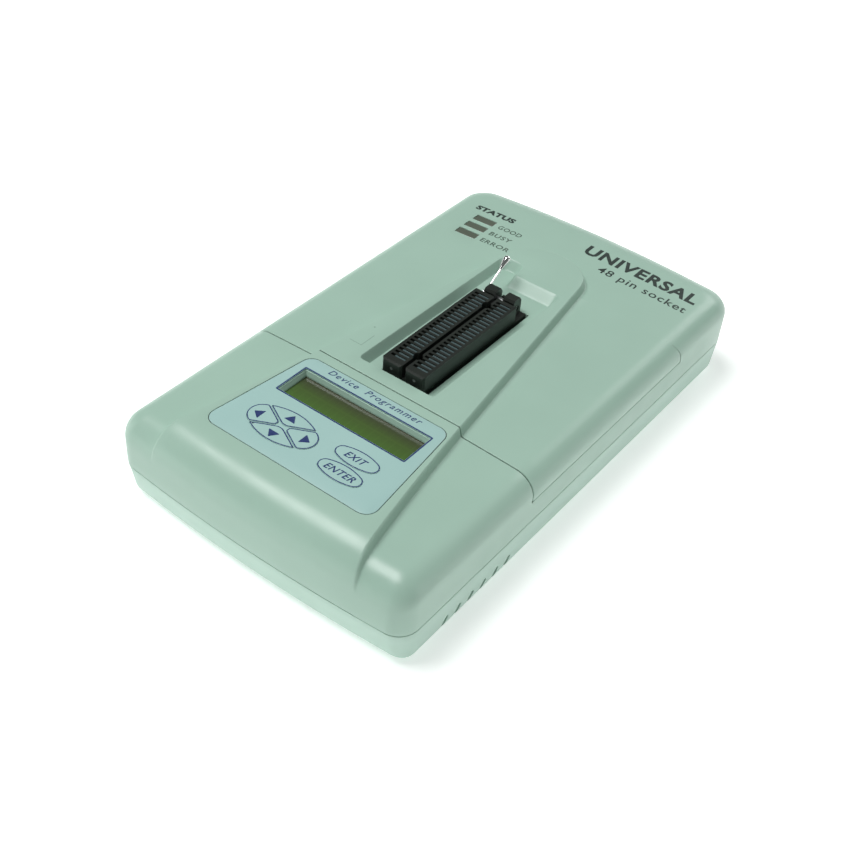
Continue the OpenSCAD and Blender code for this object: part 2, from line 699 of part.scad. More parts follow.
module lever_wire() color([0.80, 0.81, 0.82]) {
  translate([lever_x, pivot_y, zp + pivot_h]) rotate([lever_a, 0, 0]) {
    translate([0, 1.3, 0]) rotate([-90, 0, 0]) cylinder(r = lever_r, h = lever_len - 7.8, $fn = 24);
  }
}

module lever_knob() color([0.84, 0.85, 0.86]) {
  translate([lever_x, pivot_y, zp + pivot_h]) rotate([lever_a, 0, 0]) translate([0, lever_len - 7.0, 0]) rotate([-90, 0, 0])
    rotate_extrude($fn = 32) polygon([[0, 0], [0.8, 0], [1.0, 1.2], [1.55, 3.6], [1.75, 5.2], [1.6, 6.3], [0.9, 6.9], [0, 7.0]]);
}

// ---------- boards and rear connectors ----------

module socket_board() color([0.10, 0.34, 0.20]) {
  difference() {
    translate([-30, -42, zp + socket_board_h]) cube([60, 90, board_t]);
    for (p = socket_post) translate([p[0], p[1], zp + socket_board_h - 1]) cylinder(r = 1.6, h = 4);
  }
}

module driver_chips() color([0.09, 0.09, 0.10]) {
  for (x = [-22, -14, 8, 18], y = [-30, -14, 2, 18, 34]) translate([x - 1, y - 4, zp + socket_board_h - 2.0]) cube([6, 8, 2.0]);
}

module board_header() color([0.12, 0.12, 0.13]) {
  for (x = [-29, 24]) translate([x, -22, board_z + board_t]) cube([5, 50, zp + socket_board_h - board_z - board_t]);
}

module board_spacers() color([0.78, 0.68, 0.38]) {
  for (p = socket_post) translate([p[0], p[1], board_z + board_t]) difference() {
    cylinder(r = 3, h = zp + socket_board_h - board_z - board_t, $fn = 6);
    translate([0, 0, -1]) cylinder(r = 1.3, h = 40);
  }
}

module main_board() color([0.09, 0.33, 0.19]) {
  difference() {
    translate([-56, -44, board_z]) cube([112, 158, board_t]);
    for (p = concat(board_post, socket_post)) translate([p[0], p[1], board_z - 1]) cylinder(r = 1.6, h = 4);
    for (p = shell_boss) translate([p[0], p[1], board_z - 1]) cylinder(r = 5.2, h = 4);
  }
}

module logic_chips() color([0.08, 0.08, 0.09]) {
  translate([-12, -8, board_z + board_t]) cube([22, 22, 2.2]);
  translate([-16, 24, board_z + board_t]) cube([14, 14, 1.8]);
  translate([4, 26, board_z + board_t]) cube([12, 8, 2.0]);
  translate([-44, 60, board_z + board_t]) cube([12, 18, 2.6]);
}

module capacitors() color([0.14, 0.15, 0.22]) {
  for (p = [[14, 92], [26, 92], [38, 88], [-34, 96]]) translate([p[0], p[1], board_z + board_t]) cylinder(r = 4, h = 12);
}

module heat_sink() color([0.66, 0.67, 0.68]) {
  translate([16, 60, board_z + board_t]) {
    cube([26, 14, 2]);
    for (i = [0:6]) translate([i * 4, 0, 0]) cube([2, 14, 13]);
  }
}

module board_screws() color([0.70, 0.71, 0.72]) {
  for (p = board_post) translate([p[0], p[1], board_z + board_t]) {
    cylinder(r = 2.7, h = 1.8);
    translate([0, 0, -5.4]) cylinder(r = 1.25, h = 6);
  }
  for (p = socket_post) {
    translate([p[0], p[1], board_z - 1.8]) cylinder(r = 2.7, h = 1.8);
    translate([p[0], p[1], board_z - 0.5]) cylinder(r = 1.25, h = 8);
    translate([p[0], p[1], zp + socket_board_h + board_t]) cylinder(r = 2.7, h = 1.8);
    translate([p[0], p[1], zp + socket_board_h - 5]) cylinder(r = 1.25, h = 7.5);
  }
}

module usb_shell() color([0.74, 0.75, 0.76]) {
  difference() {
    translate([usb_x - usb_w / 2, panel_y - 14.2, usb_z]) cube([usb_w, 16.6, usb_hh]);
    translate([usb_x - 4.4, panel_y - 12.2, usb_z + 1.4]) cube([8.8, 20, 6.0]);
    translate([usb_x - 3.2, panel_y - 12.2, usb_z + 1.4]) cube([6.4, 20, 8.2]);
  }
}

module usb_tongue() color([0.90, 0.91, 0.90]) {
  translate([usb_x - 2.8, panel_y - 12.2, usb_z + 3.8]) cube([5.6, 12.0, 3.2]);
}

module power_inlet() color([0.09, 0.09, 0.10]) {
  difference() {
    translate([dc_x - 4.5, panel_y - 11.6, dc_z]) cube([9, 14.0, 11]);
    translate([dc_x, panel_y - 7.2, dc_z + 6.2]) rotate([-90, 0, 0]) cylinder(r = 3.15, h = 20);
  }
}

module inlet_pin() color([0.76, 0.77, 0.77]) {
  translate([dc_x, panel_y - 7.2, dc_z + 6.2]) rotate([-90, 0, 0]) cylinder(r = 1.05, h = 8.2);
}

module switch_frame() color([0.09, 0.09, 0.10]) {
  difference() {
    union() {
      translate([rocker_x - 10.6, panel_y + panel_t, rocker_z - 7.5]) cube([21.2, 1.4, 15]);
      translate([rocker_x - 9.5, panel_y - 12, rocker_z - 6.4]) cube([19, 14.2, 12.8]);
    }
    translate([rocker_x - 8.9, rocker_py - 6, rocker_z - 4.6]) cube([17.8, 30, 9.2]);
    translate([rocker_x, rocker_py, rocker_z - 6]) cylinder(r = 0.75, h = 12, $fn = 24);
  }
}

module switch_rocker() color([0.12, 0.12, 0.13]) {
  translate([rocker_x, rocker_py, rocker_z]) rotate([0, 0, -12]) {
    translate([0, 0, -4.3]) linear_extrude(8.6) polygon([
      [-8.2, -0.6], [-8.2, 3.7], [-4.2, 3.1], [0, 2.5], [4.2, 3.1], [8.2, 3.7], [8.2, -0.6], [3.0, -3.4], [-3.0, -3.4]
    ]);
    translate([0, 0, -5.4]) cylinder(r = 0.7, h = 10.8, $fn = 24);
  }
}

base_tray();
upper_shell();
deck_cover();
rear_panel();
rubber_feet();
case_screws();
key_label();
key_up();
key_down();
key_left();
key_right();
key_exit();
key_enter();
display_glass();
display_frame();
display_board();
key_board();
key_switches();
display_screws();
lens_good();
lens_busy();
lens_error();
status_board();
status_leds();
socket_base();
socket_slide();
socket_contacts();
socket_pins();
socket_dimples();
cam_shaft();
lever_wire();
lever_knob();
socket_board();
driver_chips();
board_header();
board_spacers();
main_board();
logic_chips();
capacitors();
heat_sink();
board_screws();
usb_shell();
usb_tongue();
power_inlet();
inlet_pin();
switch_frame();
switch_rocker();
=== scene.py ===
import math

import bmesh
import bpy
from mathutils import Matrix, Vector
from mathutils.geometry import delaunay_2d_cdt


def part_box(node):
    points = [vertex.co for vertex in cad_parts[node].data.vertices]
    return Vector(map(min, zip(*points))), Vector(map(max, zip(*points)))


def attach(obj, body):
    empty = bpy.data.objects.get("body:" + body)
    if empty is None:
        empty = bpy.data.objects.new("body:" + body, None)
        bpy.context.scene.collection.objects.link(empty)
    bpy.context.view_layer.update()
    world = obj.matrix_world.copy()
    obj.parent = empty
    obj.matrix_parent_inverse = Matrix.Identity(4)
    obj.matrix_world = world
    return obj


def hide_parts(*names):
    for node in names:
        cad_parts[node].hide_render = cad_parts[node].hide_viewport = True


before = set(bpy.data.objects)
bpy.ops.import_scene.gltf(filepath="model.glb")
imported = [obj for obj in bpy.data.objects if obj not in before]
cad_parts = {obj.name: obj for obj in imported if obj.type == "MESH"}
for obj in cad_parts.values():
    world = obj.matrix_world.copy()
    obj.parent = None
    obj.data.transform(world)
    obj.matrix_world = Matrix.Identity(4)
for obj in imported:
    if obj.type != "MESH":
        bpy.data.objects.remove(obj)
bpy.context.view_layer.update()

# ---------- sizes
# Millimetres. Heights are above the case parting line unless a name says otherwise.
MM = 0.001


def box_mm(node):
    low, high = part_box(node)
    return low / MM, high / MM


shell_low, shell_high = box_mm("upper_shell")
label_low, label_high = box_mm("key_label")
pane_low, pane_high = box_mm("display_glass")
PART = shell_low.z
HALF_W = shell_high.x
HALF_L = (shell_high.y - shell_low.y) / 2
ISLAND = shell_high.z - PART
CROWN = 25.0
SHOULDER = 23.5
SIDE_R = 9.5
FRONT_R = 12.5
ISLAND_R = 15.0
REAR_R = 11.2
REAR_IN = 17.0
FLAT_X = HALF_W - SIDE_R
PLAN_FRONT_R = 9.5
PLAN_REAR_R = 14.5
FRONT_BOW = 2.5
REAR_BOW = 1.3
SEAM_Y = -44.1
LEDGE = 11.7
GAP = 0.5
EDGE_R = 0.3
DECK_END_Y = 67.0
POCKET_FLOOR = 24.6
PANEL_X = 44.0
PANEL_TOP = 12.0
PRINT_LIFT = 0.03
LEDGE_END_Y = 72.8  # where the side ledge meets the rear joint of the deck


def bow(x, rise, chord):
    radius = (chord * chord + rise * rise) / (2 * rise)
    return radius - math.sqrt(radius * radius - x * x)


def front_y(x):
    return -HALF_L + bow(x, FRONT_BOW, HALF_W - PLAN_FRONT_R)


def rear_y(x):
    return HALF_L - bow(x, REAR_BOW, HALF_W - PLAN_REAR_R)


def low_z(x):
    return CROWN - (CROWN - SHOULDER) * (x / FLAT_X) ** 2


def island_x(y):
    """Half width of the island's flat top in front of the seam."""
    s = SEAM_Y - y
    return 36.0 + 0.148 * s + 0.00036 * s * s


def mix(a, b, t):
    return a + (b - a) * t


# ---------- mesh building
class Surface:
    """Collects points in millimetres and faces, then welds them into one object."""

    def __init__(self):
        self.points, self.faces = [], []

    def grid(self, rows, closed=False, keep=None):
        """Quads between rows of points. keep(row, column) says which quads are made."""
        start, width = len(self.points), len(rows[0])
        for row in rows:
            self.points += [Vector(p) for p in row]
        for i in range(len(rows) - 1):
            for j in range(width if closed else width - 1):
                if keep and not keep(i, j):
                    continue
                k = (j + 1) % width
                a, b = start + i * width, start + (i + 1) * width
                self.faces.append((a + j, a + k, b + k, b + j))

    def fill(self, outline, holes=(), height=None, step=6.0):
        """A triangulated sheet inside an outline and round holes.

        Its border keeps its own heights, and the rest takes height(x, y) or the outline's mean height.
        """
        loops = [outline, *holes]
        flat = [Vector((p[0], p[1])) for loop in loops for p in loop]
        level = {(round(p[0], 3), round(p[1], 3)): p[2] for loop in loops for p in loop}
        edges, at = [], 0
        for loop in loops:
            edges += [(at + i, at + (i + 1) % len(loop)) for i in range(len(loop))]
            at += len(loop)
        xs, ys = [p[0] for p in outline], [p[1] for p in outline]
        y = min(ys) + step * 0.63
        while y < max(ys):
            x = min(xs) + step * 0.71
            while x < max(xs):
                if inside(x, y, outline) and not any(inside(x, y, h) for h in holes):
                    if clearance(x, y, loops) > step * 0.3:
                        flat.append(Vector((x, y)))
                x += step
            y += step
        verts, _, tris, *_ = delaunay_2d_cdt(flat, edges, [], 0, 1e-4)
        start = len(self.points)
        mean = sum(p[2] for p in outline) / len(outline)
        for v in verts:
            known = level.get((round(v.x, 3), round(v.y, 3)))
            if known is None:
                known = height(v.x, v.y) if height else mean
            self.points.append(Vector((v.x, v.y, known)))
        for t in tris:
            c = sum((verts[i] for i in t), Vector((0, 0))) / 3
            if inside(c.x, c.y, outline) and not any(inside(c.x, c.y, h) for h in holes):
                self.faces.append(tuple(start + i for i in t))

    def rim(self, curve, toward, normals, depth=3.0, radius=EDGE_R, closed=False):
        """Rounds an edge over towards a joint, then turns down inside."""
        rows = []
        for k in range(5):
            a = math.pi / 2 * k / 4
            rows.append([
                p + toward * (radius * math.sin(a)) - n * (radius * (1 - math.cos(a)))
                for p, n in zip(curve, normals)
            ])
        rows.append([p - n * depth for p, n in zip(rows[-1], normals)])
        self.grid(rows, closed)

    def build(self, name, material, body="case", replaces=(), sharp=32, lift=None, weld=0.006):
        mesh = bpy.data.meshes.new(name)
        offset = Vector((0, 0, PART if lift is None else lift))
        mesh.from_pydata([(p + offset) * MM for p in self.points], [], self.faces)
        work = bmesh.new()
        work.from_mesh(mesh)
        bmesh.ops.remove_doubles(work, verts=work.verts, dist=weld * MM)
        bmesh.ops.dissolve_degenerate(work, edges=work.edges, dist=1e-7)
        loose = [v for v in work.verts if not v.link_faces]
        bmesh.ops.delete(work, geom=loose, context="VERTS")
        bmesh.ops.recalc_face_normals(work, faces=work.faces)
        face_up(work)
        work.to_mesh(mesh)
        work.free()
        return finish_piece(mesh, name, material, body, replaces, sharp)


def placed(name, data):
    """A new object in the scene."""
    made = bpy.data.objects.new(name, data)
    bpy.context.scene.collection.objects.link(made)
    return made


def face_up(work):
    """Turns the whole mesh over if its top faces look down."""
    top = max(work.faces, key=lambda f: f.calc_center_median().z * (abs(f.normal.z) > 0.7))
    if top.normal.z < 0:
        bmesh.ops.reverse_faces(work, faces=work.faces)


def finish_piece(mesh, name, material, body, replaces, sharp=32):
    for polygon in mesh.polygons:
        polygon.use_smooth = True
    mesh.set_sharp_from_angle(angle=math.radians(sharp))
    piece = placed(name, mesh)
    mesh.materials.append(material)
    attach(piece, body)
    if replaces:
        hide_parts(*replaces)
    return piece


def inside(x, y, loop):
    hit = False
    for i in range(len(loop)):
        ax, ay = loop[i][0], loop[i][1]
        bx, by = loop[i - 1][0], loop[i - 1][1]
        if (ay > y) != (by > y) and x < (bx - ax) * (y - ay) / (by - ay) + ax:
            hit = not hit
    return hit


def clearance(x, y, loops):
    best = 1e9
    for loop in loops:
        for i in range(len(loop)):
            ax, ay = loop[i][0], loop[i][1]
            dx, dy = loop[i - 1][0] - ax, loop[i - 1][1] - ay
            t = ((x - ax) * dx + (y - ay) * dy) / max(dx * dx + dy * dy, 1e-9)
            t = min(1, max(0, t))
            best = min(best, math.hypot(ax + t * dx - x, ay + t * dy - y))
    return best


def rounded(corners, steps=6):
    """A closed outline through corners (x, y, radius), with the same number of points at each corner."""
    out = []
    for i, (x, y, r) in enumerate(corners):
        p = Vector((x, y))
        a = (Vector(corners[i - 1][:2]) - p).normalized()
        b = (Vector(corners[(i + 1) % len(corners)][:2]) - p).normalized()
        half = a.angle(b) / 2
        reach = r / math.tan(half)
        centre = p + (a + b).normalized() * (r / math.sin(half))
        start, end = p + a * reach - centre, p + b * reach - centre
        for k in range(steps + 1):
            t = k / steps
            v = (start.slerp(end, t) if start.angle(end) > 1e-4 else start).normalized() * r
            out.append((centre.x + v.x, centre.y + v.y))
    return out


def smoothed(points, spacing, passes):
    """Resamples a closed outline evenly and softens its corners."""
    loop = [Vector(p) for p in points]
    lengths = [(loop[(i + 1) % len(loop)] - loop[i]).length for i in range(len(loop))]
    count = max(12, round(sum(lengths) / spacing))
    pace, out, i, gone = sum(lengths) / count, [], 0, 0.0
    for k in range(count):
        while gone + lengths[i] < k * pace:
            gone += lengths[i]
            i += 1
        out.append(loop[i].lerp(loop[(i + 1) % len(loop)], (k * pace - gone) / lengths[i]))
    for _ in range(passes):
        out = [(out[j - 1] + out[j] * 2 + out[(j + 1) % count]) / 4 for j in range(count)]
    return [(p.x, p.y) for p in out]


def grown(points, amount):
    """A closed outline moved outwards by amount."""
    loop = [Vector(p) for p in points]
    area = sum(a.cross(b) for a, b in zip(loop, loop[1:] + loop[:1]))
    side = 1 if area > 0 else -1
    out = []
    for i, p in enumerate(loop):
        t = (loop[(i + 1) % len(loop)] - loop[i - 1]).normalized()
        out.append((p.x + t.y * amount * side, p.y - t.x * amount * side))
    return out


def at_height(points, z):
    return [Vector((p[0], p[1], z)) for p in points]


# ---------- materials
def shader(name, colour, rough, **inputs):
    material = bpy.data.materials.new(name)
    material.use_nodes = True
    bsdf = material.node_tree.nodes["Principled BSDF"]
    bsdf.inputs["Base Color"].default_value = (*colour, 1)
    bsdf.inputs["Roughness"].default_value = rough
    for key, value in inputs.items():
        bsdf.inputs[key.replace("_", " ")].default_value = value
    return material, material.node_tree, bsdf


def node(tree, kind, settings=None, **values):
    made = tree.nodes.new(kind)
    for key, value in (settings or {}).items():
        setattr(made, key, value)
    for key, value in values.items():
        made.inputs[key.replace("_", " ")].default_value = value
    return made


def noise(tree, scale, detail=3.0, rough=0.55):
    place = node(tree, "ShaderNodeTexCoord")
    made = node(tree, "ShaderNodeTexNoise", Scale=scale, Detail=detail, Roughness=rough)
    tree.links.new(place.outputs["Object"], made.inputs["Vector"])
    return made.outputs["Fac"]


def ramp(tree, source, low, high, start=0.3, end=0.7):
    made = node(tree, "ShaderNodeValToRGB")
    made.color_ramp.elements[0].position, made.color_ramp.elements[0].color = start, low
    made.color_ramp.elements[1].position, made.color_ramp.elements[1].color = end, high
    tree.links.new(source, made.inputs["Fac"])
    return made.outputs["Color"]


def finish_with(tree, bsdf, colours=None, roughs=None, bumps=()):
    """Noise driven colour, roughness and stacked bumps: (scale, strength, distance) each."""
    if colours:
        low, high, scale = colours
        tree.links.new(ramp(tree, noise(tree, scale), (*low, 1), (*high, 1)), bsdf.inputs["Base Color"])
    if roughs:
        low, high, scale = roughs
        grey = ramp(tree, noise(tree, scale, 5), (low, low, low, 1), (high, high, high, 1))
        tree.links.new(grey, bsdf.inputs["Roughness"])
    last = None
    for scale, strength, distance in bumps:
        bump = node(tree, "ShaderNodeBump", Strength=strength, Distance=distance)
        tree.links.new(noise(tree, scale, 2, 0.6), bump.inputs["Height"])
        if last:
            tree.links.new(last, bump.inputs["Normal"])
        last = bump.outputs["Normal"]
    if last:
        tree.links.new(last, bsdf.inputs["Normal"])


def plastic(name, colour, rough=0.42, spread=0.03, grain=1500, bump=0.12, **inputs):
    """Moulded plastic with a fine spark texture, slow colour drift and small gloss changes."""
    material, tree, bsdf = shader(name, colour, rough, **inputs)
    low = tuple(c * (1 - spread) for c in colour)
    high = tuple(min(1, c * (1 + spread)) for c in colour)
    finish_with(
        tree, bsdf, (low, high, 24), (rough - 0.05, rough + 0.06, 60),
        [(grain, bump, 0.00006), (grain * 0.22, bump * 0.5, 0.00012)],
    )
    return material


def metal(name, colour, rough=0.25, grain=900):
    material, tree, bsdf = shader(name, colour, rough, Metallic=1.0)
    low = tuple(c * 0.93 for c in colour)
    finish_with(tree, bsdf, (low, colour, 400), (rough * 0.7, rough * 1.3, 700), [(grain, 0.08, 0.00003)])
    return material


def ink(name, colour, rough, low, high, bumps=((1200, 0.1, 0.00002),)):
    """Printing ink: slightly uneven colour and gloss."""
    material, tree, bsdf = shader(name, colour, rough)
    finish_with(tree, bsdf, (low, high, 900), (rough - 0.05, rough + 0.1, 600), bumps)
    return material


case_skin = plastic("case_plastic", (0.365, 0.535, 0.445), 0.33, 0.02, bump=0.06)
tray_skin = plastic("tray_plastic", (0.47, 0.65, 0.56), 0.40, 0.02, bump=0.06)
black_skin = plastic("socket_plastic", (0.016, 0.021, 0.017), 0.36, 0.3, 1500, 0.1)
rubber_skin = plastic("foot_rubber", (0.02, 0.02, 0.022), 0.8, 0.2, 1800, 0.3)
panel_skin = plastic("panel_plastic", (0.30, 0.38, 0.33), 0.45, 0.03)
switch_skin = plastic("switch_plastic", (0.015, 0.016, 0.017), 0.3, 0.2)
ink_blue = ink("ink_blue", (0.016, 0.035, 0.14), 0.45, (0.012, 0.028, 0.12), (0.022, 0.045, 0.17))
ink_dark = ink("ink_dark", (0.02, 0.035, 0.03), 0.5, (0.015, 0.028, 0.024), (0.03, 0.045, 0.038))
film_skin, film_tree, film_bsdf = shader(
    "label_film", (0.38, 0.58, 0.55), 0.30, Coat_Weight=0.25, Coat_Roughness=0.25,
)
finish_with(
    film_tree, film_bsdf, ((0.37, 0.57, 0.54), (0.39, 0.59, 0.56), 30),
    (0.28, 0.34, 200), [(2600, 0.05, 0.00002)],
)
chrome_skin = metal("lever_chrome", (0.82, 0.83, 0.82), 0.12)
contact_skin = metal("contact_metal", (0.22, 0.27, 0.29), 0.38)
screw_skin = metal("screw_metal", (0.55, 0.56, 0.57), 0.32)
shell_metal = metal("connector_metal", (0.66, 0.67, 0.68), 0.26)

# ---------- upper case: outline columns and rings
# Steps up a raised wall: distance out from its top edge, share of its height
WALL = [(2.2, 0.0), (1.85, 0.03), (1.6, 0.12), (1.25, 0.42), (0.95, 0.74), (0.7, 0.90), (0.35, 0.98), (-0.1, 1.0)]
WALL_FOOT = WALL[0][0]
LEVELS = (0.0214, 0.43, 0.807, 0.864, 1.0)
BAND_RING, DECK_RING = 2, 3
TURNS = 12
RINGS = len(LEVELS) + TURNS
FRONT, DECK, REAR = range(3)


class Column:
    """One line of points from the parting line up the wall and over the rolled edge to the flat top."""

    def __init__(self, outer, inner, top, roll, zone, end=0.0, opening=False):
        self.outer, self.inner = Vector(outer), Vector(inner)
        self.top, self.base, self.zone, self.end, self.opening = top, top - roll, zone, end, opening

    def mirrored(self):
        flip = Vector((-1, 1))
        twin = Column(self.outer * flip, self.inner * flip, self.top, self.top - self.base, self.zone)
        twin.end, twin.opening = self.end, self.opening
        return twin

    def point(self, ring):
        if ring < len(LEVELS):
            share = LEVELS[ring]
            if self.opening and ring in (BAND_RING, DECK_RING):
                share = PANEL_TOP / self.base + (0.03 if ring == DECK_RING else 0)
            p = Vector((*self.outer, self.base * share))
        else:
            a = math.pi / 2 * (ring - len(LEVELS) + 1) / TURNS
            flat = self.outer.lerp(self.inner, 1 - math.cos(a))
            p = Vector((*flat, self.base + (self.top - self.base) * math.sin(a)))
        if self.end:
            rise = min(1, max(0, (p.z - LEDGE) / (SHOULDER - LEDGE)))
            p.y = mix(LEDGE_END_Y, DECK_END_Y, rise ** 2.2) + self.end * GAP / 2 * (1 - rise)
        return p


def island_column(d, h):
    y = front_y(45) + ISLAND_R
    for _ in range(4):
        y = front_y(island_x(y) + d) + mix(FRONT_R, ISLAND_R, h)
    out = island_x(front_y(50)) + d
    top = mix(low_z(island_x(y) + WALL_FOOT), ISLAND, h)
    return Column((out, front_y(out)), (island_x(y) + d, y), top, mix(FRONT_R, ISLAND_R, h), FRONT)


def half_columns():
    walls = [island_column(d, h) for d, h in reversed(WALL)]
    edge, foot = walls[0], walls[-1]
    cols = []
    for f in (0, 0.14, 0.28, 0.42, 0.56, 0.70, 0.82, 0.92):
        x_out, x_in = edge.outer.x * f, edge.inner.x * f
        cols.append(Column((x_out, front_y(x_out)), (x_in, front_y(x_in) + ISLAND_R), ISLAND, ISLAND_R, FRONT))
    cols += walls
    chord, in_r = HALF_W - PLAN_FRONT_R, 2.5
    centre = Vector((FLAT_X - in_r, front_y(FLAT_X - in_r) + FRONT_R + in_r))
    for f in (0.22, 0.44, 0.66, 0.86):
        x_out, x_in = mix(foot.outer.x, chord, f), mix(foot.inner.x, centre.x, f)
        cols.append(Column((x_out, front_y(x_out)), (x_in, front_y(x_in) + FRONT_R), low_z(x_in), FRONT_R, FRONT))
    for k in range(11):
        turn = Vector((math.sin(math.pi / 20 * k), -math.cos(math.pi / 20 * k)))
        inner = centre + turn * in_r
        outer = Vector((chord, front_y(chord) + PLAN_FRONT_R)) + turn * PLAN_FRONT_R
        cols.append(Column(outer, inner, low_z(inner.x), mix(FRONT_R, SIDE_R, k / 10), FRONT))
    edge_y = GAP / 2 + EDGE_R
    stations = [(y, FRONT, 0) for y in (-104, -95, -84, -72, -60, -51, SEAM_Y - edge_y)]
    stations += [(y, DECK, 0) for y in (SEAM_Y + edge_y, -36, -24, -12, 0, 12, 24, 36, 48, 58)]
    stations += [(70, DECK, -1), (70, REAR, 1)] + [(y, REAR, 0) for y in (80, 88, 95)]
    for y, zone, end in stations:
        cols.append(Column((HALF_W, y), (FLAT_X, y), SHOULDER, SIDE_R, zone, end))
    chord, in_r = HALF_W - PLAN_REAR_R, 5.5
    centre = Vector((FLAT_X - in_r, rear_y(FLAT_X - in_r) - REAR_IN - in_r))
    for k in range(13):
        turn = Vector((math.cos(math.pi / 24 * k), math.sin(math.pi / 24 * k)))
        inner = centre + turn * in_r
        outer = Vector((chord, rear_y(chord) - PLAN_REAR_R)) + turn * PLAN_REAR_R
        cols.append(Column(outer, inner, low_z(inner.x), mix(SIDE_R, REAR_R, k / 12), REAR))
    for x in (54, 49, PANEL_X, 36, 28, 20, 12, 6, 0):
        cols.append(Column((x, rear_y(x)), (x, rear_y(x) - REAR_IN), low_z(x), REAR_R, REAR, 0, x <= PANEL_X))
    return cols


half = half_columns()
columns = half + [c.mirrored() for c in reversed(half[1:-1])]
rings = [[c.point(k) for c in columns] for k in range(RINGS)]
COUNT = len(columns)


def zones(j):
    return columns[j].zone, columns[(j + 1) % COUNT].zone


def in_shell(i, j):
    a, b = zones(j)
    if columns[j].opening and columns[(j + 1) % COUNT].opening and i < BAND_RING:
        return False
    return i < BAND_RING or (a == b and a != DECK)


def in_deck(i, j):
    return i >= DECK_RING and zones(j) == (DECK, DECK)


def outward(j):
    t = (columns[(j + 1) % COUNT].outer - columns[j - 1].outer).normalized()
    return Vector((t.y, -t.x, 0))


shell, deck = Surface(), Surface()
shell.grid(rings, True, in_shell)
deck.grid(rings, True, in_deck)

# Section across the top on each side of the seam, from the right flat edge to the left one
UP, DOWN, BACK, FORTH = Vector((0, 0, 1)), Vector((0, 0, -1)), Vector((0, 1, 0)), Vector((0, -1, 0))
ACROSS = (58, 52, 46, 42)
right = [j for j in range(COUNT) if columns[j].outer.x > 0]
left = [j for j in range(COUNT) if columns[j].outer.x < 0]


def edge_column(side, zone, last):
    """The side column next to a joint: the last or first of its zone."""
    found = [j for j in side if columns[j].zone == zone and abs(columns[j].inner.x) > FLAT_X - 0.01]
    return sorted(found, key=lambda j: columns[j].point(0).y)[-1 if last else 0]


def section(y, wall_points):
    """Points across the top at y: the low top and one wall, then the raised top, mirrored to the left."""
    outer = [Vector((x, y, low_z(x))) for x in ACROSS]
    inner = [Vector((wall_points[-1].x * f, y, ISLAND)) for f in (0.75, 0.5, 0.25, 0)]
    half_line = outer + wall_points + inner
    return half_line + [Vector((-p.x, p.y, p.z)) for p in reversed(half_line[:-1])]


def normals_of(curve, along):
    """Outward normals of a curve over the case, square to the direction along."""
    found = []
    for i, p in enumerate(curve):
        t = (curve[min(i + 1, len(curve) - 1)] - curve[max(i - 1, 0)]).normalized()
        n = t.cross(along).normalized()
        found.append(n if n.dot(p - Vector((0, p.y, 0))) > 0 else -n)
    return found


def joint_rim(surface, zone, last, line, toward):
    """Rounds the edge beside the seam: up one side, across the top and down the other."""
    r, l = edge_column(right, zone, last), edge_column(left, zone, last)
    start = DECK_RING if zone == DECK else BAND_RING
    curve = [columns[r].point(k) for k in range(start, RINGS)] + line
    curve += [columns[l].point(k) for k in reversed(range(start, RINGS))]
    surface.rim(curve, toward, normals_of(curve, BACK))


# Front shell: island walls, low top, island top with the label recess
front_y_edge = SEAM_Y - GAP / 2 - EDGE_R
wall_ends = [island_column(d, h) for d, h in WALL]
stations = [k / 14 for k in range(15)]


def island_wall(sign):
    rows = []
    for (d, h), end in zip(WALL, wall_ends):
        row = []
        for t in stations:
            y = mix(front_y_edge, end.inner.y, t)
            z = mix(low_z(island_x(y) + WALL_FOOT), ISLAND, h)
            row.append(Vector((sign * (island_x(y) + d), y, z)))
        rows.append(row)
    return rows


def flat_edge(test):
    """Where the rolled edge meets the flat top, for the columns that pass the test."""
    return [c.point(RINGS - 1) for c in columns if test(c)]


walls_r, walls_l = island_wall(1), island_wall(-1)
seam_line = section(front_y_edge, [row[0] for row in walls_r])
foot_x = wall_ends[0].inner.x - 0.01
low_r = flat_edge(lambda c: c.zone == FRONT and c.inner.x >= foot_x)
across = [Vector((x, front_y_edge, low_z(x))) for x in ACROSS]
low_outline = low_r + across + walls_r[0]
for sign in (1, -1):
    outline = [Vector((p.x * sign, p.y, p.z)) for p in low_outline]
    shell.fill(outline, height=lambda x, y: low_z(x), step=7)
shell.grid(walls_r)
shell.grid(walls_l)
wall_top_x = wall_ends[-1].inner.x + 0.01
top_front = flat_edge(lambda c: c.zone == FRONT and abs(c.inner.x) <= wall_top_x)
top_front.sort(key=lambda p: -p.x)
seam_top = [p for p in reversed(seam_line) if p.z > ISLAND - 1e-4]
seam_top.sort(key=lambda p: p.x)

LABEL_TAPER = (41.4 - 35.1) / (106.2 - 49.5)  # half width lost per length towards the rear
label_front_y, label_rear_y = label_low.y, label_high.y
front_w = label_high.x + 1.3
rear_w = front_w - LABEL_TAPER * (label_rear_y - label_front_y)


def label_outline(g):
    return rounded([
        (front_w + g, label_front_y - g, 5.2 + g), (rear_w + g, label_rear_y + g, 5.0 + g),
        (-rear_w - g, label_rear_y + g, 5.0 + g), (-front_w - g, label_front_y - g, 5.2 + g),
    ], 8)


recess = at_height(label_outline(0.42), ISLAND)
shell.fill(top_front + walls_l[-1][::-1] + seam_top[1:-1] + walls_r[-1], [recess], step=14)
shell.grid([
    at_height(label_outline(g), ISLAND - z)
    for g, z in ((0.42, 0), (0.36, 0.02), (0.32, 0.08), (0.31, 0.2), (0.31, 0.62), (-2.0, 0.62))
], True)
joint_rim(shell, FRONT, True, seam_line, BACK)

# Window walls under the label: pale slopes down to the display
window = Vector((pane_high.x - 0.8, (pane_high.y - pane_low.y) / 2 - 0.8))
window_y = (pane_high.y + pane_low.y) / 2


def window_outline(g, r=0.5):
    x, y = window.x + g, window.y + g
    return rounded([(x, window_y - y, r), (x, window_y + y, r), (-x, window_y + y, r), (-x, window_y - y, r)], 3)


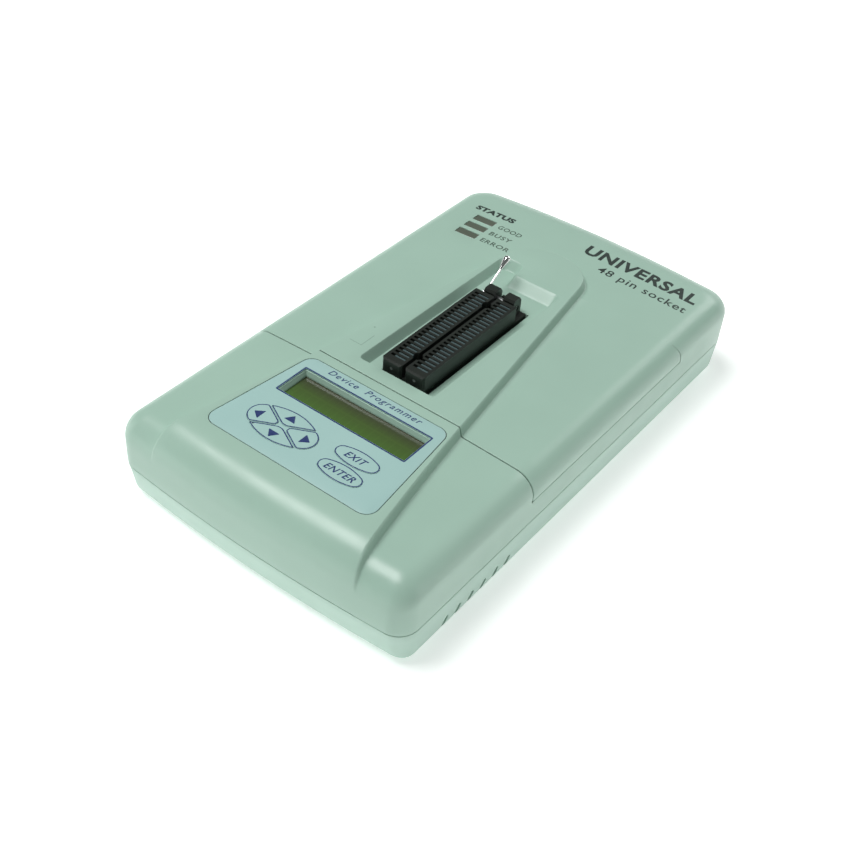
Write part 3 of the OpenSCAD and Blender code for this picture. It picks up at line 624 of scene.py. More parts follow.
shell.grid([
    at_height(window_outline(g, max(0.3, 0.5 + g)), z)
    for g, z in (
        (2.0, ISLAND - 0.62), (0.1, ISLAND - 0.6), (-0.02, ISLAND - 0.66), (-0.62, 26.5), (-0.7, 26.3), (-0.7, 25.62),
    )
], True)

# Bands, bottom edge and rear opening of the shell
for side in (right, left):
    band = [j for j in side if columns[j].zone == DECK]
    sign = 1 if side is right else -1
    normals = [Vector((sign, 0, 0))] * len(band)
    shell.rim([columns[j].point(BAND_RING) for j in band], UP, normals)
    deck.rim([columns[j].point(DECK_RING) for j in band], DOWN, normals)
opening = [j for j in range(COUNT) if columns[j].opening]
around = list(range(opening[-1], COUNT)) + list(range(opening[0] + 1))
shell.rim([columns[j].point(0) for j in around], DOWN, [outward(j) for j in around])
shell.rim([columns[j].point(BAND_RING) for j in opening], DOWN, [BACK] * len(opening), 4.0)
for j, sign in ((opening[0], -1), (opening[-1], 1)):
    edge = [columns[j].point(k) for k in range(BAND_RING + 1)]
    shell.rim(edge, Vector((sign, 0, 0)), [BACK] * len(edge), 4.0)

# ---------- plateau and pocket of the deck
deck_y_edge = SEAM_Y + GAP / 2 + EDGE_R
TAIL_X, TAIL_Y, TAIL_END = 19.1, 73.0, 84.6
tail_radius = (TAIL_X ** 2 + (TAIL_END - TAIL_Y) ** 2) / (2 * (TAIL_END - TAIL_Y))
tail_angle = math.asin(TAIL_X / tail_radius)


def plateau_path():
    """Top edge of the plateau from the seam on the right, round the rear, to the seam on the left."""
    start = island_x(SEAM_Y)
    side = [Vector((mix(start, TAIL_X, k / 40), mix(deck_y_edge, TAIL_Y, k / 40))) for k in range(41)]
    arc = []
    for k in range(1, 14):
        a = tail_angle * (1 - k / 14)
        arc.append(Vector((tail_radius * math.sin(a), TAIL_END - tail_radius * (1 - math.cos(a)))))
    path = side + arc
    path += [Vector((0, TAIL_END))] + [Vector((-p.x, p.y)) for p in reversed(path)]
    for _ in range(3):
        inner = [(a + b * 2 + c) / 4 for a, b, c in zip(path, path[1:], path[2:])]
        path = [path[0]] + inner + [path[-1]]
    return path


path = plateau_path()
path_normals = []
for i, p in enumerate(path):
    t = (path[min(i + 1, len(path) - 1)] - path[max(i - 1, 0)]).normalized()
    path_normals.append(Vector((t.y, -t.x)) if i not in (0, len(path) - 1) else Vector((1 if i == 0 else -1, 0)))


def plateau_rows():
    rows = []
    for d, h in WALL:
        row = []
        for p, n in zip(path, path_normals):
            foot = p + n * WALL_FOOT
            q = p + n * d
            row.append(Vector((q.x, q.y, mix(low_z(foot.x), ISLAND, h))))
        rows.append(row)
    return rows


plateau = plateau_rows()
deck.grid(plateau)
foot_line = plateau[0]
split = min(range(len(foot_line) // 2), key=lambda i: abs(foot_line[i].y - DECK_END_Y))
deck_edge = flat_edge(lambda c: c.zone == DECK and c.inner.x > 0)
seam_low = [Vector((x, deck_y_edge, low_z(x))) for x in reversed(ACROSS)]
joint_line = []
for f in (0.2, 0.4, 0.6, 0.8):
    x, y = mix(deck_edge[-1].x, foot_line[split].x, f), mix(deck_edge[-1].y, foot_line[split].y, f)
    joint_line.append(Vector((x, y, low_z(x))))
deck_side = deck_edge + joint_line + foot_line[:split + 1][::-1] + seam_low
for sign in (1, -1):
    deck.fill([Vector((p.x * sign, p.y, p.z)) for p in deck_side], height=lambda x, y: low_z(x), step=8)

rear_edge = flat_edge(lambda c: c.zone == REAR)
tail = foot_line[split:len(foot_line) - split]
joint_left = [Vector((-p.x, p.y, p.z)) for p in joint_line]
lens_boxes = [box_mm(n) for n in ("lens_good", "lens_busy", "lens_error")]


def lens_outline(box, g, r=0.35):
    (x0, y0, _), (x1, y1, _) = box
    return rounded([(x1 + g, y0 - g, r), (x1 + g, y1 + g, r), (x0 - g, y1 + g, r), (x0 - g, y0 - g, r)], 3)


lens_holes = [[Vector((x, y, low_z(x))) for x, y in lens_outline(b, 0.22)] for b in lens_boxes]
shell.fill(rear_edge + joint_left + tail[::-1] + joint_line[::-1], lens_holes, height=lambda x, y: low_z(x), step=8)
for b in lens_boxes:
    shell.grid([
        [Vector((x, y, low_z(x) - drop)) for x, y in lens_outline(b, g)]
        for g, drop in ((0.22, 0), (0.14, 0.04), (0.10, 0.14), (0.10, 1.2))
    ], True)

# Corners of the pocket at its rim and at its floor: x, y, radius
POCKET_RIM = [
    (-21.2, -36.8, 2.0), (17.8, -36.8, 1.6), (17.8, 57.0, 3.0),
    (-7.2, 57.0, 1.6), (-7.2, 66.5, 4.5), (-19.8, 66.5, 4.5),
]
POCKET_FOOT = [
    (-18.4, -36.1, 1.2), (17.0, -36.1, 1.0), (17.0, 51.6, 2.2),
    (-8.8, 51.6, 2.4), (-8.8, 62.8, 3.2), (-17.6, 62.8, 3.2),
]


def pocket_loop(g):
    corners = [tuple(mix(a, b, g) for a, b in zip(rim, foot)) for rim, foot in zip(POCKET_RIM, POCKET_FOOT)]
    return rounded([(x, y, max(r, 0.4)) for x, y, r in corners], 7)


# Steps down the pocket wall: share of the way from rim to foot, share of the depth
POCKET_STEPS = (
    (-0.10, 0.0), (0.0, 0.02), (0.08, 0.08), (0.2, 0.2), (0.5, 0.5), (0.8, 0.8), (0.92, 0.92), (1.0, 0.98), (1.1, 1.0),
)
rim_loop = at_height(pocket_loop(POCKET_STEPS[0][0]), ISLAND)
deck_section = section(deck_y_edge, [row[0] for row in plateau])
deck_top = [p for p in deck_section if p.z > ISLAND - 1e-4]
deck.fill(plateau[-1] + sorted(deck_top, key=lambda p: p.x)[1:-1], [rim_loop], step=14)
deck.grid([at_height(pocket_loop(g), mix(ISLAND, POCKET_FLOOR, s)) for g, s in POCKET_STEPS], True)
WELL = [(12.2, -35.3, 0.4), (12.2, 40.6, 0.4), (-12.2, 40.6, 0.4), (-12.2, -35.3, 0.4)]


def well_loop(g):
    return rounded([(x + math.copysign(g, x), y + math.copysign(g, y), r + max(g, -0.2)) for x, y, r in WELL], 3)


deck.fill(at_height(pocket_loop(1.1), POCKET_FLOOR), [at_height(well_loop(0.25), POCKET_FLOOR)], step=12)
deck.grid([
    at_height(well_loop(g), POCKET_FLOOR - z)
    for g, z in ((0.25, 0), (0.1, 0.06), (0.0, 0.25), (0.0, 1.9), (0.0, 2.2))
], True)
joint_rim(deck, DECK, False, deck_section, FORTH)

# Dark strips a little way inside the joints, so that each line reads as a deep gap
joint_skin = plastic("joint_shadow", (0.02, 0.03, 0.025), 0.7, 0.2)
joints = Surface()
STRIP_DEPTH, STRIP_HALF = 0.55, 0.55


def joint_strip(curve, normals, along):
    rows = []
    for depth, side in ((0, -1), (0, 1), (0.4, 1), (0.4, -1), (0, -1)):
        rows.append([p - n * (STRIP_DEPTH + depth) + along * (STRIP_HALF * side) for p, n in zip(curve, normals)])
    joints.grid(rows)
    for end in (0, -1):
        joints.grid([[rows[0][end], rows[1][end]], [rows[3][end], rows[2][end]]])


seam_r, seam_l = edge_column(right, FRONT, True), edge_column(left, FRONT, True)
seam_curve = [columns[seam_r].point(k) for k in range(BAND_RING, RINGS)] + seam_line
seam_curve += [columns[seam_l].point(k) for k in reversed(range(BAND_RING, RINGS))]
joint_strip([p + BACK * (GAP / 2 + EDGE_R) for p in seam_curve], normals_of(seam_curve, BACK), BACK)
for side, sign in ((right, 1), (left, -1)):
    band = sorted((j for j in side if columns[j].zone == DECK), key=lambda j: columns[j].outer.y)
    ledge = [(columns[j].point(BAND_RING) + columns[j].point(DECK_RING)) / 2 for j in band]
    joint_strip(ledge, [Vector((sign, 0, 0))] * len(ledge), UP)
ring_rows = []
for depth, z in ((0, -0.7), (0, 0.35), (0.4, 0.35), (0.4, -0.7), (0, -0.7)):
    row = [Vector((*columns[j].outer, z)) - outward(j) * (STRIP_DEPTH + depth) for j in range(COUNT)]
    ring_rows.append(row)
joints.grid(ring_rows, True, lambda i, j: not (columns[j].opening and columns[(j + 1) % COUNT].opening))
joints.build("joint_shadow_strips", joint_skin, sharp=60, weld=0.001)
shell.build("case_upper_shell", case_skin, replaces=["upper_shell"])
deck.build("case_socket_deck", case_skin, replaces=["deck_cover"])

# ---------- bottom tray
TRAY_Z = -16.0
TRAY_EDGE = 2.2
TRAY_WALL = 2.5
SIDE_TAPER, FRONT_TAPER = 1.2, 3.5
VENTS, VENT_START, VENT_PITCH, VENT_MID, VENT_SLANT = 6, -96.8, 8.1, -12.6, math.radians(31)
SCREW_PLACES = [(62, -28), (62, 52), (61, -100), (56, 106)]


def tray_loop(z, extra=0.0):
    loop = []
    for j, column in enumerate(columns):
        n = outward(j)
        taper = mix(SIDE_TAPER, FRONT_TAPER, max(0, -n.y) ** 2) * z / TRAY_Z
        loop.append(Vector((*column.outer, z)) - n * (taper + extra))
    return loop


def prism(points, matrix, length, into):
    """A closed bar with the outline points, from -length / 2 to length / 2 along its own Z."""
    ends = [[into.verts.new((matrix @ Vector((x, y, z * length / 2))) * MM) for x, y in points] for z in (-1, 1)]
    into.faces.new(list(reversed(ends[0])))
    into.faces.new(ends[1])
    for i in range(len(points)):
        k = (i + 1) % len(points)
        into.faces.new((ends[0][i], ends[0][k], ends[1][k], ends[1][i]))


def circle(r, count=28):
    return [(r * math.cos(math.tau * i / count), r * math.sin(math.tau * i / count)) for i in range(count)]


def cut(piece, cutter):
    """Takes the closed shapes in cutter away from piece and keeps the result as its mesh."""
    bmesh.ops.recalc_face_normals(cutter, faces=cutter.faces)
    mesh = bpy.data.meshes.new("cutter")
    cutter.to_mesh(mesh)
    cutter.free()
    tool = placed("cutter", mesh)
    step = piece.modifiers.new("cut", "BOOLEAN")
    step.object, step.operation, step.solver = tool, "DIFFERENCE", "EXACT"
    result = bpy.data.meshes.new_from_object(piece.evaluated_get(bpy.context.evaluated_depsgraph_get()))
    piece.modifiers.clear()
    piece.data = result
    bpy.data.objects.remove(tool)
    for polygon in result.polygons:
        polygon.use_smooth = True
    result.set_sharp_from_angle(angle=math.radians(30))


tray = Surface()
arc = [math.pi / 2 * k / 6 for k in range(7)]
inner_steps = ((TRAY_Z + TRAY_WALL, 1.5), (TRAY_Z + TRAY_WALL + 1.5, 0), (-0.35, 0))
loops = [tray_loop(z, TRAY_WALL + e) for z, e in inner_steps]
loops += [tray_loop(z, e) for z, e in ((-0.35, 0.25), (-0.42, 0.08), (-0.6, 0), (-4, 0), (-9, 0))]
loops += [tray_loop(TRAY_Z + TRAY_EDGE * (1 - math.sin(a)), TRAY_EDGE * (1 - math.cos(a))) for a in arc]
tray.grid(loops, True)
tray.fill(loops[0], step=20)
tray.fill(loops[-1], step=20)
tray_piece = tray.build("case_tray", tray_skin, replaces=["base_tray"], sharp=30)
holes = bmesh.new()
for sign in (1, -1):
    for i in range(VENTS):
        at = Matrix.Translation((sign * HALF_W, VENT_START + i * VENT_PITCH, VENT_MID + PART))
        at = at @ Matrix.Rotation(-VENT_SLANT, 4, "X") @ Matrix.Rotation(math.pi / 2, 4, "Y")
        slot = rounded([(3.0, -1, 0.9), (3.0, 1, 0.9), (-3.0, 1, 0.9), (-3.0, -1, 0.9)], 4)
        prism(slot, at, 9, holes)
    for x, y in SCREW_PLACES:
        prism(circle(3.4), Matrix.Translation((sign * x, y, 1.0)), 8, holes)
rear_cut = [(-PANEL_X, HALF_L - 12), (PANEL_X, HALF_L - 12), (PANEL_X, HALF_L + 4), (-PANEL_X, HALF_L + 4)]
prism(rear_cut, Matrix.Translation((0, 0, PART - 3)), 12, holes)
cut(tray_piece, holes)

# ---------- label film, keys and printing on it
# Key outlines: measured from the photo, and larger than the CAD keys
KEY_SPOT, KEY_A, KEY_B, KEY_R, KEY_SPLIT = Vector((-15.1, -89.8)), 16.8, 9.4, 6.0, 0.55
APEX_SIDE, APEX_END = 2.7, 0.9  # how far the four arrow keys stay from the centre
OVAL_A, OVAL_B, OVAL_R = 10.3, 4.5, 3.2
WORD_KEYS = {"exit": Vector((18.6, -85.1)), "enter": Vector((18.5, -95.0))}
SPLIT_ANGLE = math.radians(27.5)
KEY_TOP = box_mm("key_up")[1].z - PART
FILM_TOP, FILM_THICK = ISLAND, 0.45
KEY_GAP = 0.1
CAP_FOOT = 25.4


def oval(a, b, r, steps=14):
    """Two flat arcs joined by two tight ones."""
    big = ((a - r) ** 2 + b * b - r * r) / (2 * (b - r))
    t = math.atan((a - r) / (big - b))
    spans = [
        ((0, b - big), big, math.pi / 2 - t, math.pi / 2 + t, steps * 2),
        ((r - a, 0), r, math.pi / 2 + t, 1.5 * math.pi - t, steps),
        ((0, big - b), big, 1.5 * math.pi - t, 1.5 * math.pi + t, steps * 2),
        ((a - r, 0), r, t - math.pi / 2, math.pi / 2 - t, steps),
    ]
    out = []
    for (cx, cy), radius, start, end, count in spans:
        for k in range(count):
            angle = mix(start, end, k / count)
            out.append(Vector((cx + radius * math.cos(angle), cy + radius * math.sin(angle))))
    return out


def clipped(points, normal, distance):
    """The part of a convex outline where normal . p > distance."""
    out = []
    for i, p in enumerate(points):
        q = points[(i + 1) % len(points)]
        a, b = p.dot(normal) - distance, q.dot(normal) - distance
        if a >= 0:
            out.append(p)
        if (a < 0) != (b < 0):
            out.append(p.lerp(q, a / (a - b)))
    return out


def wedge(way):
    """Outline of one arrow key: way is right, up, left or down as 0 to 3 quarter turns."""
    half = SPLIT_ANGLE if way % 2 == 0 else math.pi / 2 - SPLIT_ANGLE
    points = oval(KEY_A, KEY_B, KEY_R)
    for sign in (1, -1):
        side = way * math.pi / 2 + sign * (half - math.pi / 2)
        points = clipped(points, Vector((math.cos(side), math.sin(side))), KEY_SPLIT / 2)
    direction = Vector((math.cos(way * math.pi / 2), math.sin(way * math.pi / 2)))
    points = clipped(points, direction, APEX_SIDE if way % 2 == 0 else APEX_END)
    return smoothed([p + KEY_SPOT for p in points], 0.3, 6)


key_outlines = {"key_" + name: wedge(way) for way, name in enumerate(("right", "up", "left", "down"))}
for name, spot in WORD_KEYS.items():
    key_outlines["key_" + name] = [(p.x + spot.x, p.y + spot.y) for p in oval(OVAL_A, OVAL_B, OVAL_R, 8)]

film = Surface()
film_edge = ((0.0, -FILM_THICK), (0.0, -0.12), (-0.04, -0.03), (-0.12, 0.0))
film.grid([at_height(label_outline(g), FILM_TOP + z) for g, z in film_edge], True)
openings = [at_height(grown(outline, KEY_GAP), FILM_TOP) for outline in key_outlines.values()]
openings.append(at_height(window_outline(0.3), FILM_TOP))
film.fill(at_height(label_outline(-0.12), FILM_TOP), openings, step=9)
for hole in openings:
    film.grid([hole, [p + DOWN * FILM_THICK for p in hole]], True)
under = [[p + DOWN * FILM_THICK for p in hole] for hole in openings]
film.fill(at_height(label_outline(0), FILM_TOP - FILM_THICK), under, step=9)
film.build("label_film", film_skin, replaces=["key_label"], sharp=40)


def printed_ring(name, inner, outer, z, material, body="case", thick=0.03):
    """A thin band of ink between two outlines with the same number of points."""
    ring = Surface()
    section_steps = ((inner, z), (inner, z + thick), (outer, z + thick), (outer, z), (inner, z))
    ring.grid([at_height(p, h) for p, h in section_steps], True)
    return ring.build(name, material, body=body, weld=0.0005)


# Painted shade: a dark ink band at the bottom of the gap round the label film stands in for the shadow in that gap
printed_ring("label_gap_painted_shade", label_outline(0.0), label_outline(0.3), FILM_TOP - 0.3, ink_dark)


def printed_patch(name, outline, z, material, body="case", thick=0.03):
    """A thin patch of ink."""
    patch = Surface()
    patch.grid([at_height(outline, z), at_height(outline, z + thick)], True)
    patch.fill(at_height(outline, z), step=3)
    patch.fill(at_height(outline, z + thick), step=3)
    return patch.build(name, material, body=body, weld=0.0005)


printed_ring("print_window", window_outline(0.36, 0.5), window_outline(1.0, 0.6), FILM_TOP - 0.01, ink_blue)
for name, outline in key_outlines.items():
    cap = Surface()
    steps = ((0, CAP_FOOT), (0, KEY_TOP - 0.06), (-0.02, KEY_TOP - 0.02), (-0.06, KEY_TOP))
    cap.grid([at_height(grown(outline, g), z) for g, z in steps], True)
    cap.fill(at_height(grown(outline, -0.06), KEY_TOP), step=2.5)
    cap.fill(at_height(outline, CAP_FOOT), step=2.5)
    body = name.replace("key_", "") + "_key"
    cap.build(name.replace("key", "keycap"), film_skin, body=body, replaces=[name], sharp=50)
    print_name = name.replace("key_", "print_ring_")
    printed_ring(print_name, grown(outline, -0.52), grown(outline, -0.06), KEY_TOP - 0.02, ink_blue, body)


def arrow(way, spot, base=5.5, tall=3.8):
    """A filled triangle pointing right, up, left or down."""
    corners = [Vector((tall * 0.55, 0)), Vector((-tall * 0.45, base / 2)), Vector((-tall * 0.45, -base / 2))]
    c, s = math.cos(way * math.pi / 2), math.sin(way * math.pi / 2)
    points = [(spot.x + p.x * c - p.y * s, spot.y + p.x * s + p.y * c) for p in corners]
    return smoothed(points, 0.35, 1)


ARROW_SPOTS = {"right": (12.2, -0.2), "up": (-0.1, 5.6), "left": (-12.3, -0.4), "down": (-0.2, -6.0)}
for way, name in enumerate(("right", "up", "left", "down")):
    spot = KEY_SPOT + Vector(ARROW_SPOTS[name])
    printed_patch("print_arrow_" + name, arrow(way, spot), KEY_TOP - 0.01, ink_blue, name + "_key", 0.04)


def lettering(name, words, low, high, material, body="case", weight=0.0, spacing=1.0, slant=0.0, z=None):
    """Words as thin raised ink, fitted to the box low to high, lying on the top or at height z."""
    data = bpy.data.curves.new(name, "FONT")
    data.body, data.size, data.space_character, data.shear = words, 1.0, spacing, slant
    data.offset, data.extrude, data.resolution_u = weight, 0.02, 3
    source = placed(name + "_source", data)
    mesh = bpy.data.meshes.new_from_object(source.evaluated_get(bpy.context.evaluated_depsgraph_get()))
    bpy.data.objects.remove(source)
    xs, ys = [v.co.x for v in mesh.vertices], [v.co.y for v in mesh.vertices]
    for v in mesh.vertices:
        x = mix(low[0], high[0], (v.co.x - min(xs)) / (max(xs) - min(xs)))
        y = mix(low[1], high[1], (v.co.y - min(ys)) / (max(ys) - min(ys)))
        ground = (low_z(x) if z is None else z) + (PRINT_LIFT if v.co.z > 0 else -PRINT_LIFT)
        v.co = Vector((x, y, ground + PART)) * MM
    work = bmesh.new()
    work.from_mesh(mesh)
    bmesh.ops.remove_doubles(work, verts=work.verts, dist=1e-7)
    bmesh.ops.recalc_face_normals(work, faces=work.faces)
    work.to_mesh(mesh)
    work.free()
    mesh.materials.clear()
    return finish_piece(mesh, name, material, body, [], 30)


lettering(
    "print_title", "Device  Programmer", (-23.5, -54.6), (24.0, -50.6), ink_blue,
    spacing=1.2, slant=0.25, weight=0.006, z=FILM_TOP,
)
lettering("print_exit", "EXIT", (13.1, -86.8), (23.3, -83.6), ink_blue, "exit_key", 0.015, 1.1, 0.3, KEY_TOP)
lettering("print_enter", "ENTER", (11.3, -96.6), (25.5, -93.4), ink_blue, "enter_key", 0.015, 1.1, 0.3, KEY_TOP)
ink_grey = ink("ink_grey", (0.07, 0.11, 0.085), 0.5, (0.055, 0.09, 0.07), (0.085, 0.13, 0.10))
ink_faint = ink("ink_faint", (0.24, 0.36, 0.30), 0.45, (0.22, 0.34, 0.28), (0.27, 0.40, 0.33), ())
for name, words, low, high, material, weight, spacing in (
    ("status", "STATUS", (-58.8, 97.6), (-36.2, 101.6), ink_dark, 0.05, 1.05),
    ("good", "GOOD", (-39.6, 89.2), (-26.4, 92.4), ink_grey, 0.012, 1.1),
    ("busy", "BUSY", (-39.6, 81.9), (-27.4, 85.1), ink_grey, 0.012, 1.1),
    ("error", "ERROR", (-39.6, 74.6), (-23.6, 77.8), ink_grey, 0.012, 1.1),
    ("name", "UNIVERSAL", (3.0, 99.2), (63.0, 107.4), ink_dark, 0.035, 1.1),
    ("line", "48 pin socket", (16.0, 89.0), (62.5, 95.6), ink_dark, 0.008, 1.12),
):
    lettering("print_" + name, words, low, high, material, weight=weight, spacing=spacing)

# Faint pin-one mark on the plateau: two thin strokes and a dot
for index, (low, high) in enumerate((((-31.8, -30.05), (-25.4, -29.75)), ((-25.7, -29.9), (-25.4, -21.2)))):
    stroke = [(high[0], low[1]), (high[0], high[1]), (low[0], high[1]), (low[0], low[1])]
    printed_patch(f"print_pin_line_{index}", stroke, ISLAND - 0.01, ink_faint)
dot = [(-29.2 + x, -16.5 + y) for x, y in circle(0.45, 16)]
printed_patch("print_pin_dot", dot, ISLAND - 0.01, ink_faint)

# ---------- strips in the socket's slots
SLOT_PITCH, SLOT_START, SLOT_WIDTH, SLOTS = 2.54, -29.8, 1.36, 24
STRIP_LOW, STRIP_HIGH = 30.72, 32.7
slot_skin = plastic("slot_strip", (0.075, 0.115, 0.12), 0.4, 0.15, bump=0.05)
strips = Surface()
for left_end, right_end in ((-7.65, -2.15), (3.92, 9.42)):
    for i in range(SLOTS):
        y = SLOT_START + i * SLOT_PITCH
        near, far = y - SLOT_WIDTH / 2, y + SLOT_WIDTH / 2
        box = rounded([
            (left_end, near, 0.12), (right_end, near, 0.12), (right_end, far, 0.12), (left_end, far, 0.12),
        ], 1)
        levels = ((0, STRIP_LOW), (0, STRIP_HIGH - 0.08), (-0.08, STRIP_HIGH))
        strips.grid([at_height(grown(box, g), z) for g, z in levels], True)
        strips.fill(at_height(grown(box, -0.08), STRIP_HIGH), step=9)
        strips.fill(at_height(box, STRIP_LOW), step=9)
strips.build("socket_slot_strips", slot_skin, body="bars", sharp=40, weld=0.001)

# ---------- status lenses
lens_skin = plastic(
    "lens_plastic", (0.105, 0.125, 0.095), 0.22, 0.12, 1500, 0.06, Coat_Weight=0.3, Coat_Roughness=0.1,
)
LENS_STEPS = ((0, 4.0), (0, 0.42), (-0.1, 0.24), (-0.3, 0.15), (-0.6, 0.12))
for name, low_high in zip(("good", "busy", "error"), lens_boxes):
    lens = Surface()
    rows = [
        [Vector((x, y, low_z(x) - drop)) for x, y in lens_outline(low_high, g)]
        for g, drop in LENS_STEPS
    ]
    lens.grid(rows, True)
    lens.fill(rows[-1], step=1.5)
    lens.fill(rows[0], step=3)
    lens.build("status_lens_" + name, lens_skin, replaces=["lens_" + name], sharp=50, weld=0.002)

# ---------- lever knob
# Profile of the flared knob: radius, distance along the lever
KNOB = [
    (0, 0), (0.8, 0), (0.86, 0.3), (0.95, 1.2), (1.25, 2.6), (1.55, 3.9), (1.72, 5.0), (1.75, 5.4), (1.68, 5.9),
    (1.45, 6.4), (1.0, 6.8), (0.5, 6.97), (0, 7.0),
]
LEVER_A = math.radians(33.6)
KNOB_OVERLAP, KNOB_SIDES = 0.45, 40
wire_low, wire_high = box_mm("lever_wire")
knob = Surface()
axis = Vector((0, math.cos(LEVER_A), math.sin(LEVER_A)))
side_axis = Vector((1, 0, 0))
cross_axis = axis.cross(side_axis)
root = Vector(((wire_low.x + wire_high.x) / 2, wire_high.y, wire_high.z - PART)) - axis * KNOB_OVERLAP
knob_rows = []
for r, along in KNOB:
    round_row = circle(r, KNOB_SIDES)
    knob_rows.append([root + axis * along + side_axis * u + cross_axis * v for u, v in round_row])
knob.grid(knob_rows, True)
knob.build("lever_handle", chrome_skin, body="lever", replaces=["lever_knob"], sharp=60, weld=0.001)

# ---------- finishes for the carried-over CAD nodes
lcd_skin, lcd_tree, lcd_bsdf = shader("display_pane", (0.05, 0.09, 0.03), 0.12, Coat_Weight=0.6, Coat_Roughness=0.04)
board_skin = plastic("board_green", (0.02, 0.14, 0.05), 0.35, 0.2)
chip_skin = plastic("chip_black", (0.02, 0.02, 0.022), 0.5, 0.2)
white_skin = plastic("light_lens", (0.6, 0.62, 0.6), 0.3, 0.03)
sink_skin = metal("heat_sink_metal", (0.55, 0.56, 0.57), 0.4)
sleeve_skin = plastic("capacitor_sleeve", (0.03, 0.05, 0.12), 0.35, 0.1)
brass_skin = metal("brass", (0.72, 0.55, 0.28), 0.3)
pin_skin = metal("pin_metal", (0.10, 0.10, 0.10), 0.45)
dimple_skin = plastic("dimple_plastic", (0.16, 0.18, 0.17), 0.4, 0.1)
frame_skin = plastic("display_frame", (0.03, 0.035, 0.03), 0.45, 0.2)


CELL_WIDE, CELL_TALL = 0.00355, 0.0072  # one character of the display, in metres


def pane_look(tree, bsdf):
    """Olive pane: darker and browner at the rear, with faint character cells."""
    place = node(tree, "ShaderNodeTexCoord")
    split = node(tree, "ShaderNodeSeparateXYZ")
    tree.links.new(place.outputs["Object"], split.inputs["Vector"])
    depth = node(tree, "ShaderNodeMapRange", From_Min=(pane_low.y + 0.8) * MM, From_Max=(pane_high.y - 0.8) * MM)
    tree.links.new(split.outputs["Y"], depth.inputs["Value"])
    colours = node(tree, "ShaderNodeValToRGB")
    ramp_points = colours.color_ramp.elements
    ramp_points[0].position, ramp_points[0].color = 0.0, (0.075, 0.165, 0.030, 1)
    ramp_points[1].position, ramp_points[1].color = 1.0, (0.060, 0.055, 0.036, 1)
    middle = ramp_points.new(0.55)
    middle.color = (0.065, 0.115, 0.026, 1)
    tree.links.new(depth.outputs["Result"], colours.inputs["Fac"])
    scale = node(tree, "ShaderNodeMapping", Scale=(1 / CELL_WIDE, 1 / CELL_TALL, 1))
    cells = node(tree, "ShaderNodeTexBrick", {"offset": 0.0}, Scale=1.0, Mortar_Size=0.09, Mortar_Smooth=0.3)
    cells.inputs["Brick Width"].default_value = 1.0
    cells.inputs["Row Height"].default_value = 1.0
    cells.inputs["Color1"].default_value = (0.93, 0.93, 0.93, 1)
    cells.inputs["Color2"].default_value = (0.93, 0.93, 0.93, 1)
    cells.inputs["Mortar"].default_value = (1, 1, 1, 1)
    tree.links.new(place.outputs["Object"], scale.inputs["Vector"])
    tree.links.new(scale.outputs["Vector"], cells.inputs["Vector"])
    blend = node(tree, "ShaderNodeMix", {"data_type": "RGBA", "blend_type": "MULTIPLY"})
    blend.inputs[0].default_value = 1.0
    tree.links.new(colours.outputs["Color"], blend.inputs[6])
    tree.links.new(cells.outputs["Color"], blend.inputs[7])
    tree.links.new(blend.outputs[2], bsdf.inputs["Base Color"])


pane_look(lcd_tree, lcd_bsdf)
finish_with(lcd_tree, lcd_bsdf, None, (0.10, 0.16, 300), [(500, 0.03, 0.00002)])
FINISHES = {name: material for material, names in (
    (lcd_skin, "display_glass"), (frame_skin, "display_frame"), (white_skin, "status_leds"),
    (board_skin, "display_board key_board status_board socket_board main_board"),
    (chip_skin, "key_switches driver_chips board_header logic_chips usb_tongue power_inlet"),
    (screw_skin, "display_screws board_screws case_screws cam_shaft"), (brass_skin, "board_spacers inlet_pin"),
    (sleeve_skin, "capacitors"), (sink_skin, "heat_sink"), (panel_skin, "rear_panel"), (shell_metal, "usb_shell"),
    (switch_skin, "switch_frame switch_rocker"), (rubber_skin, "rubber_feet"),
    (black_skin, "socket_base socket_slide"), (contact_skin, "socket_contacts"), (pin_skin, "socket_pins"),
    (dimple_skin, "socket_dimples"), (chrome_skin, "lever_wire"),
) for name in names.split()}
SOFTENED = {
    "socket_slide": 0.18, "socket_base": 0.25, "rear_panel": 0.3, "switch_frame": 0.4, "switch_rocker": 0.35,
    "power_inlet": 0.3, "usb_shell": 0.12, "rubber_feet": 0.5, "display_frame": 0.2, "heat_sink": 0.1,
}
for name, material in FINISHES.items():
    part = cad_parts[name]
    for place in part.material_slots:
        place.material = material
    if not part.material_slots:
        part.data.materials.append(material)
    if name in SOFTENED:
        join = part.modifiers.new("weld", "WELD")
        join.merge_threshold = 1e-6
        soften = part.modifiers.new("soften", "BEVEL")
        soften.width, soften.segments = SOFTENED[name] * MM, 2
        soften.limit_method, soften.angle_limit = "ANGLE", math.radians(35)
        soften.use_clamp_overlap = True

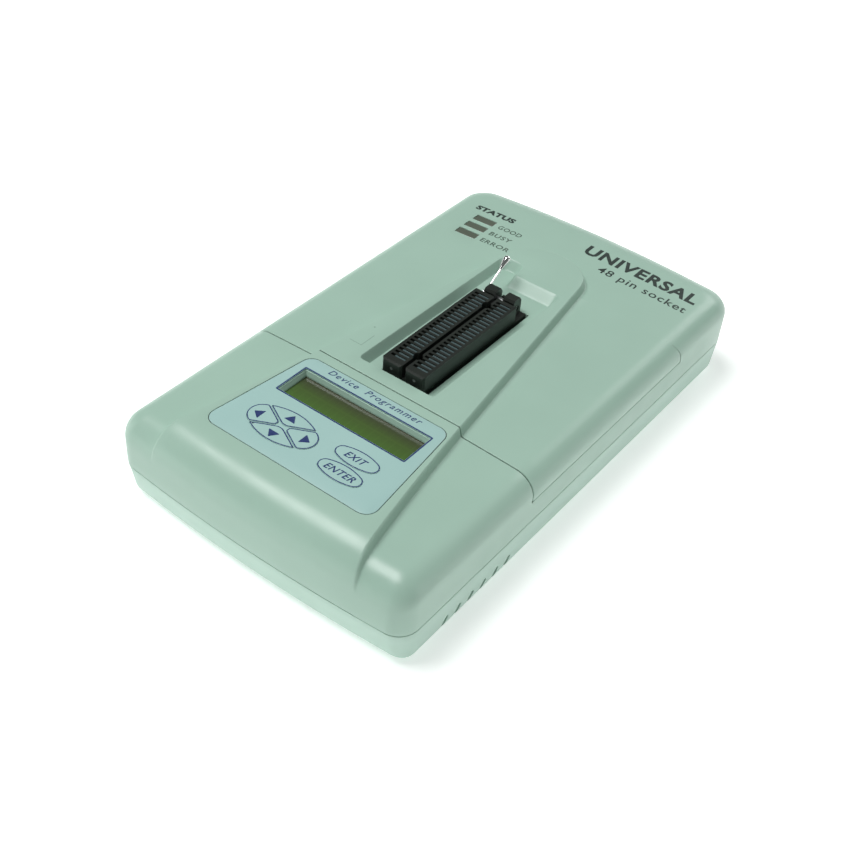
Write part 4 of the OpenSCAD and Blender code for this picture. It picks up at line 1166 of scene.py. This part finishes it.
# ---------- camera, light and floor
camera_data = bpy.data.cameras.new("camera")
camera_data.lens, camera_data.sensor_width = 54.28, 36.0
camera_data.clip_start, camera_data.clip_end = 0.01, 20
camera = placed("camera", camera_data)
VIEW_TURN = Vector((2.16935, 0.775417, -0.271966))  # rotation from the world to the lens, as axis times angle
CAMERA_PLACE = (0.2406, -0.3624, 0.3769)
world_to_lens = Matrix.Rotation(VIEW_TURN.length, 3, VIEW_TURN.normalized())
lens_to_world = world_to_lens.transposed() @ Matrix.Diagonal((1, -1, -1))
camera.matrix_world = Matrix.Translation(CAMERA_PLACE) @ lens_to_world.to_4x4()
bpy.context.scene.camera = camera

FLOOR_GLOW = 0.42
floor_mesh = bpy.data.meshes.new("floor")
work = bmesh.new()
bmesh.ops.create_grid(work, x_segments=4, y_segments=4, size=12)
work.to_mesh(floor_mesh)
work.free()
floor = placed("floor", floor_mesh)
floor_skin, floor_tree, floor_bsdf = shader(
    "floor_paper", (0.93, 0.95, 0.94), 0.85, Emission_Strength=FLOOR_GLOW,
)
floor_bsdf.inputs["Emission Color"].default_value = (1, 1, 1, 1)
finish_with(floor_tree, floor_bsdf, ((0.92, 0.94, 0.93), (0.94, 0.96, 0.95), 3))
floor_mesh.materials.append(floor_skin)


AIM = (0, 0, 0.02)


def soft_light(name, place, size, power):
    data = bpy.data.lights.new(name, "AREA")
    data.shape, data.size, data.energy = "SQUARE", size, power
    lamp = placed(name, data)
    lamp.location = place
    lamp.rotation_euler = (Vector(AIM) - Vector(place)).to_track_quat("-Z", "Y").to_euler()


soft_light("light_top", (-0.8, -0.5, 2.3), 1.3, 50)
soft_light("light_rear", (0.3, 2.6, 1.6), 1.4, 20)
soft_light("light_right", (2.6, 0.9, 0.8), 1.2, 6)
soft_light("light_left", (-2.4, -1.2, 0.6), 1.2, 5)
# The backdrop is bright at the horizon and dim above
world = bpy.data.worlds.new("world")
world.use_nodes = True
sky = world.node_tree
ways = node(sky, "ShaderNodeTexCoord")
parts = node(sky, "ShaderNodeSeparateXYZ")
height = node(sky, "ShaderNodeMapRange", From_Min=0.02, From_Max=0.16)
band = node(sky, "ShaderNodeValToRGB")
band.color_ramp.elements[0].color = (0.62, 0.66, 0.64, 1)
band.color_ramp.elements[1].color = (0.13, 0.14, 0.135, 1)
sky.links.new(ways.outputs["Generated"], parts.inputs["Vector"])
sky.links.new(parts.outputs["Z"], height.inputs["Value"])
sky.links.new(height.outputs["Result"], band.inputs["Fac"])
sky.links.new(band.outputs["Color"], sky.nodes["Background"].inputs["Color"])
bpy.context.scene.world = world
bpy.context.scene.view_settings.view_transform = "Standard"
